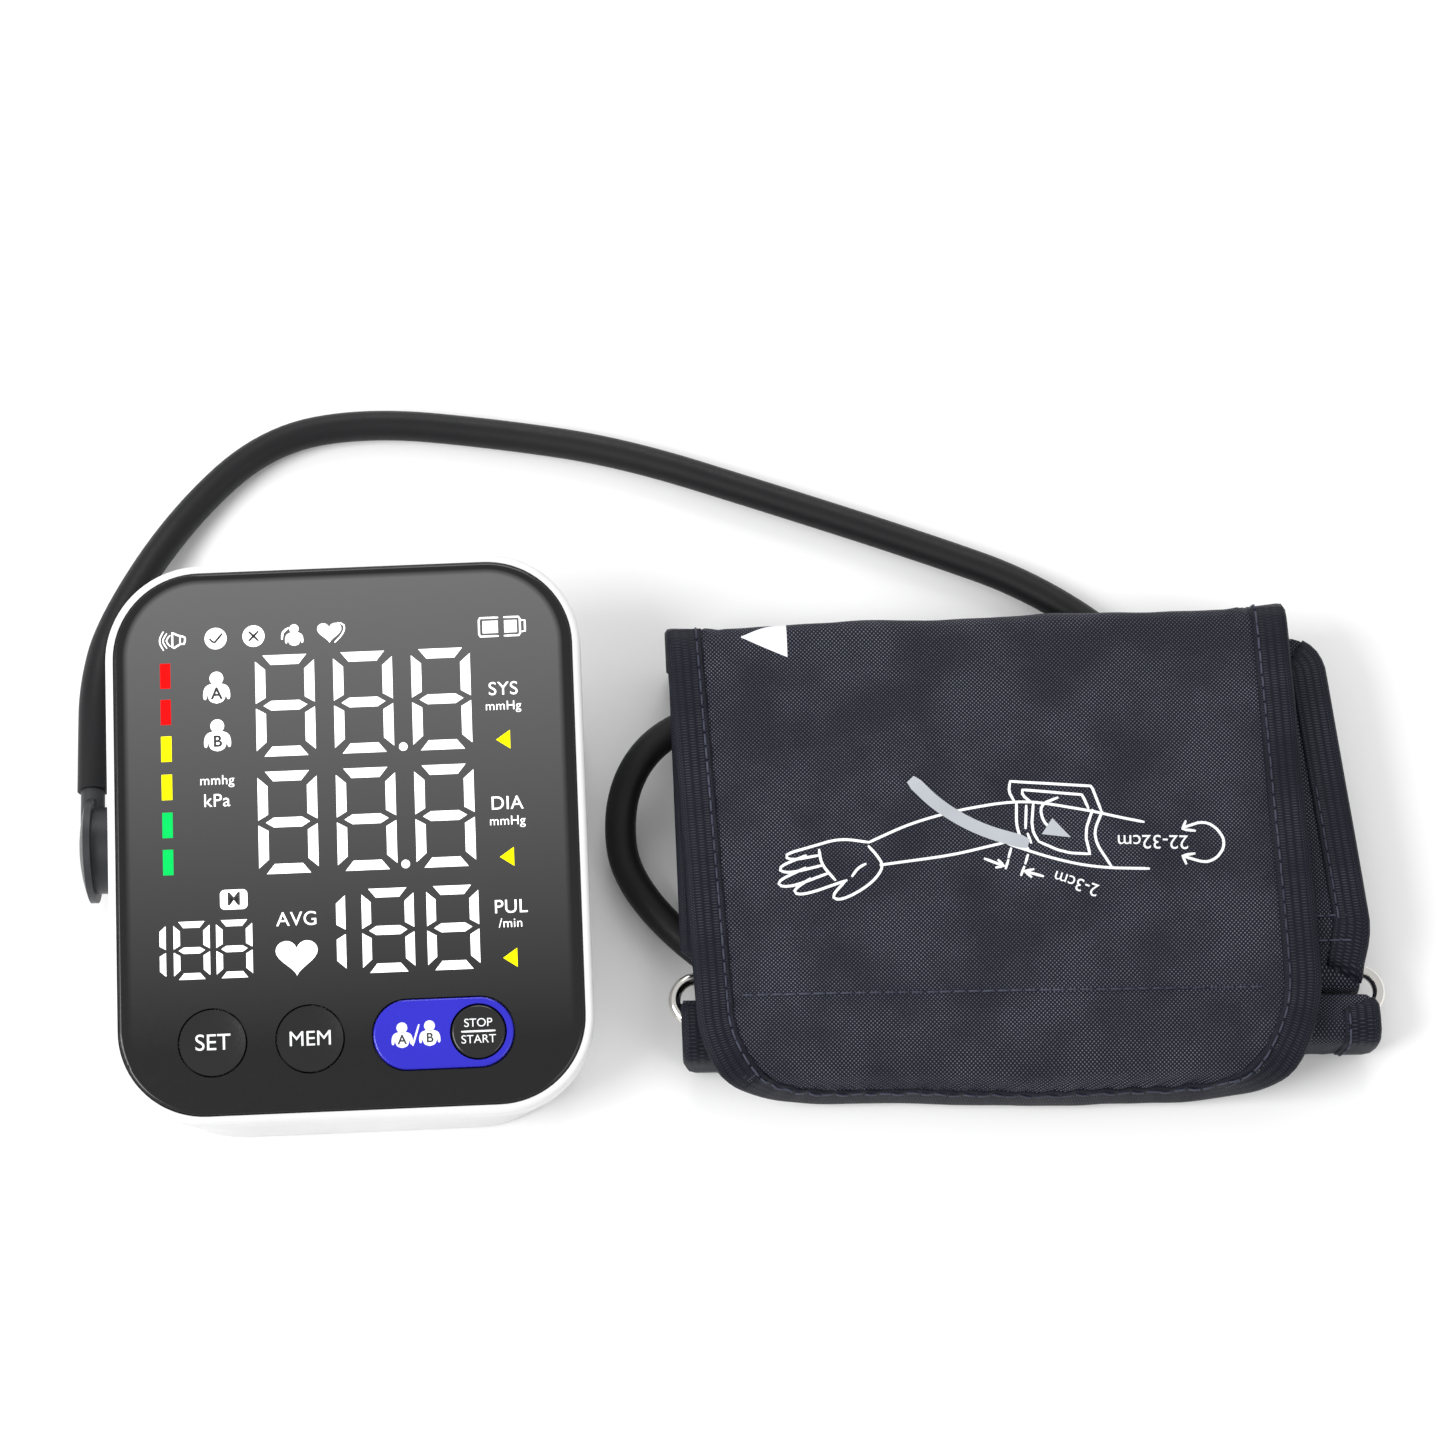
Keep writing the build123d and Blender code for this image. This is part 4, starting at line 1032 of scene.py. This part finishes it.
def ring_right(y, z, s):
    share = (LAYER_Y[1] - y) / (LAYER_Y[1] - LAYER_Y[0])
    narrow = 2.4 * min(max((-26.0 - y) / 8.0, 0.0), 1.0)
    return slide(LAYER_RIGHT, min(max(share, 0.0), 1.0)) - rounding(42.0 - y, 8.0) - narrow


def to_ring(point):
    """Draws the sleeve round to the turn of the wire ring; its near side sags a little to the right."""
    beyond = point.x - RING_MIDDLE_X
    share = min(max((-24.0 - point.y) / 5.0, 0.0), 1.0)
    sag = 0.032 * max(beyond, 0.0) * min(max((-33.6 - point.y) / 1.2, 0.0), 1.0)
    return Vector((point.x, point.y - RING_SKEW * beyond * share - sag, point.z))


RING_LINE = [(42.0, 18.8), (-26.5, 18.8), (-33.4, 17.2), (-35.0, 13.5), (-34.9, 7.9), (-29.6, 7.9),
             (-29.5, 12.5), (-28.6, 16.4)]
ring_layer = Cloth(RING_LINE, ring_left, ring_right, thick=1.7, wave=0.18, seed=3.0, lift=to_ring)
ring_piece = sew("cuff_ring_layer_cloth", ring_layer.shell(0.85), "weave", "cuff_cloth")
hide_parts("cuff_ring_layer", "ring_sleeve")

BACK_LINE = [(37.0, 8.7), (-25.5, 8.7)]
back_layer = Cloth(BACK_LINE, lambda y, z, s: 75.5, layer_right, wave=0.15, seed=4.0)
back_piece = sew("cuff_back_cloth", back_layer.shell(), "weave", "cuff_cloth")
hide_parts("cuff_back_layer")


def near_left(y, z, s):
    return 72.2 + 1.2 * min(max((9.0 - z) / 8.0, 0.0), 1.0) * (1.0 if y < -45 else 0.0)


def near_right(y, z, s):
    bottom = 1.4 * min(max((9.0 - z) / 8.0, 0.0), 1.0) * (1.0 if y < -45 else 0.0)
    return 225.3 - bottom - rounding(-38.5 - y, 3.4)


def near_skew(point):
    """The fold's far edge follows the ring; its outer side turns a little less."""
    beyond = point.x - RING_MIDDLE_X
    share = min(max((point.y + 46.0) / 6.0, 0.0), 1.0)
    return Vector((point.x, point.y - beyond * (0.016 + 0.018 * share), point.z))


NEAR_LINE = [(-38.5, 14.6), (-44.0, 14.6), (-49.0, 14.4), (-49.0, 7.0), (-48.9, 1.5), (-46.2, 1.9),
             (-46.2, 11.0)]
near_fold = Cloth(NEAR_LINE, near_left, near_right, wave=0.3, seed=6.0, lift=near_skew)
near_piece = sew("cuff_near_cloth", near_fold.shell(), "weave", "cuff_cloth")
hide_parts("cuff_near_fold")

for cloth, name, seam_start, last in (
    (ring_layer, "ring_layer", 9.0, 76.5),
    (back_layer, "back_layer", 9.0, 61.0),
    (near_fold, "near_fold", 4.2, near_fold.length - 11.0),
):
    edges = cloth.outline(1.0, last, False)
    seams = cloth.outline(seam_start, min(last, 66.0), False)
    for side, edge, line in zip(("left", "right"), edges, seams):
        sew(f"{name}_binding_{side}", cloth.band(edge), "band", "binding")
        seam = cloth.stitches(cloth.inset(line, BAND - 1.2), cloth.thick / 2 + BAND_THICK)
        attach(build(f"{name}_stitches_{side}", *seam, "thread", "binding"), False)
sewn = []
for y in (-24.0, -28.0):
    s = ring_layer.s_of_y(y)
    sewn.append(ring_layer.stitches([Vector((76.0, s)), Vector((ring_layer.edges(s)[1] - 2.0, s))],
                                    ring_layer.thick / 2 + 0.1))
attach(build("ring_layer_cross_stitches", *merge(sewn), "thread", "binding"), False)

# ---- padded layer with the air bladder ----
PAD_MID = 13.8
pad = Cloth([(36.6, PAD_MID), (-25.3, PAD_MID)], layer_left, layer_right,
            thick=6.6, wave=0.25, seed=8.0, step=2.5)
pad_piece = sew("cuff_bladder_pad", pad.shell(3.2), "weave", "cuff_cloth")
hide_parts("cuff_lower_layer", "bladder")
collar_line = [p for p in hose_line if p.y > 20 and p.z > 10 and 72.6 < p.x < 79.0]
collar_radii = [HOSE_R + 0.35 + 0.9 * max(0.0, (p.x - 72.0) / 7.0) for p in collar_line]
attach(build("hose_collar", *tube(collar_line, collar_radii, 24), "band", "binding"), False)

# ---- loop tape ----
loop_cloth = Cloth([(32.0, 20.1), (-20.0, 20.1)], lambda y, z, s: 86.0, lambda y, z, s: 208.0,
                   thick=0.8, wave=0.1, seed=11.0)
loop_piece = sew("loop_tape", loop_cloth.shell(0.4), "loop", "loop")
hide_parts("loop_patch")

# ---- floor, light and camera ----
LOOKS["floor"] = moulded("pale_floor", (0.84, 0.84, 0.84), (0.88, 0.88, 0.88), (0.75, 0.85),
                         patch=3.0, grain=400.0)
FLOOR_HALF = 1800
FLOOR_Z = -0.2
floor_points = [(x, y, FLOOR_Z) for y in (-FLOOR_HALF, FLOOR_HALF) for x in (-FLOOR_HALF, FLOOR_HALF)]
floor = build("floor", floor_points, [(0, 1, 3, 2)], "floor", "white_shell")

world = bpy.data.worlds.new("studio")
bpy.context.scene.world = world
world.use_nodes = True
world.node_tree.nodes["Background"].inputs["Color"].default_value = (1.0, 1.0, 1.0, 1)
world.node_tree.nodes["Background"].inputs["Strength"].default_value = 0.70


def softbox(name, place, size, power):
    """Square soft light aimed at the object."""
    light = bpy.data.lights.new(name, "AREA")
    light.shape = "SQUARE"
    light.size = size
    light.energy = power
    lamp = bpy.data.objects.new(name, light)
    lamp.location = place
    lamp.rotation_euler = (TARGET - Vector(place)).to_track_quat("-Z", "Y").to_euler()
    bpy.context.scene.collection.objects.link(lamp)


softbox("key", (-1.05, -0.35, 1.15), 0.9, 22.0)
softbox("fill", (1.2, -0.8, 0.9), 0.9, 6.0)
softbox("back", (0.15, 1.4, 1.0), 1.0, 12.0)

camera_data = bpy.data.cameras.new("camera")
camera_data.lens = LENS
camera_data.sensor_width = SENSOR
camera = bpy.data.objects.new("camera", camera_data)
offset = Vector((
    math.sin(AZIMUTH) * math.cos(ELEVATION),
    -math.cos(AZIMUTH) * math.cos(ELEVATION),
    math.sin(ELEVATION),
))
camera.location = TARGET + offset * DISTANCE
camera.rotation_euler = (-offset).to_track_quat("-Z", "Y").to_euler()
bpy.context.scene.collection.objects.link(camera)
bpy.context.scene.camera = camera
bpy.context.scene.view_settings.view_transform = "Standard"
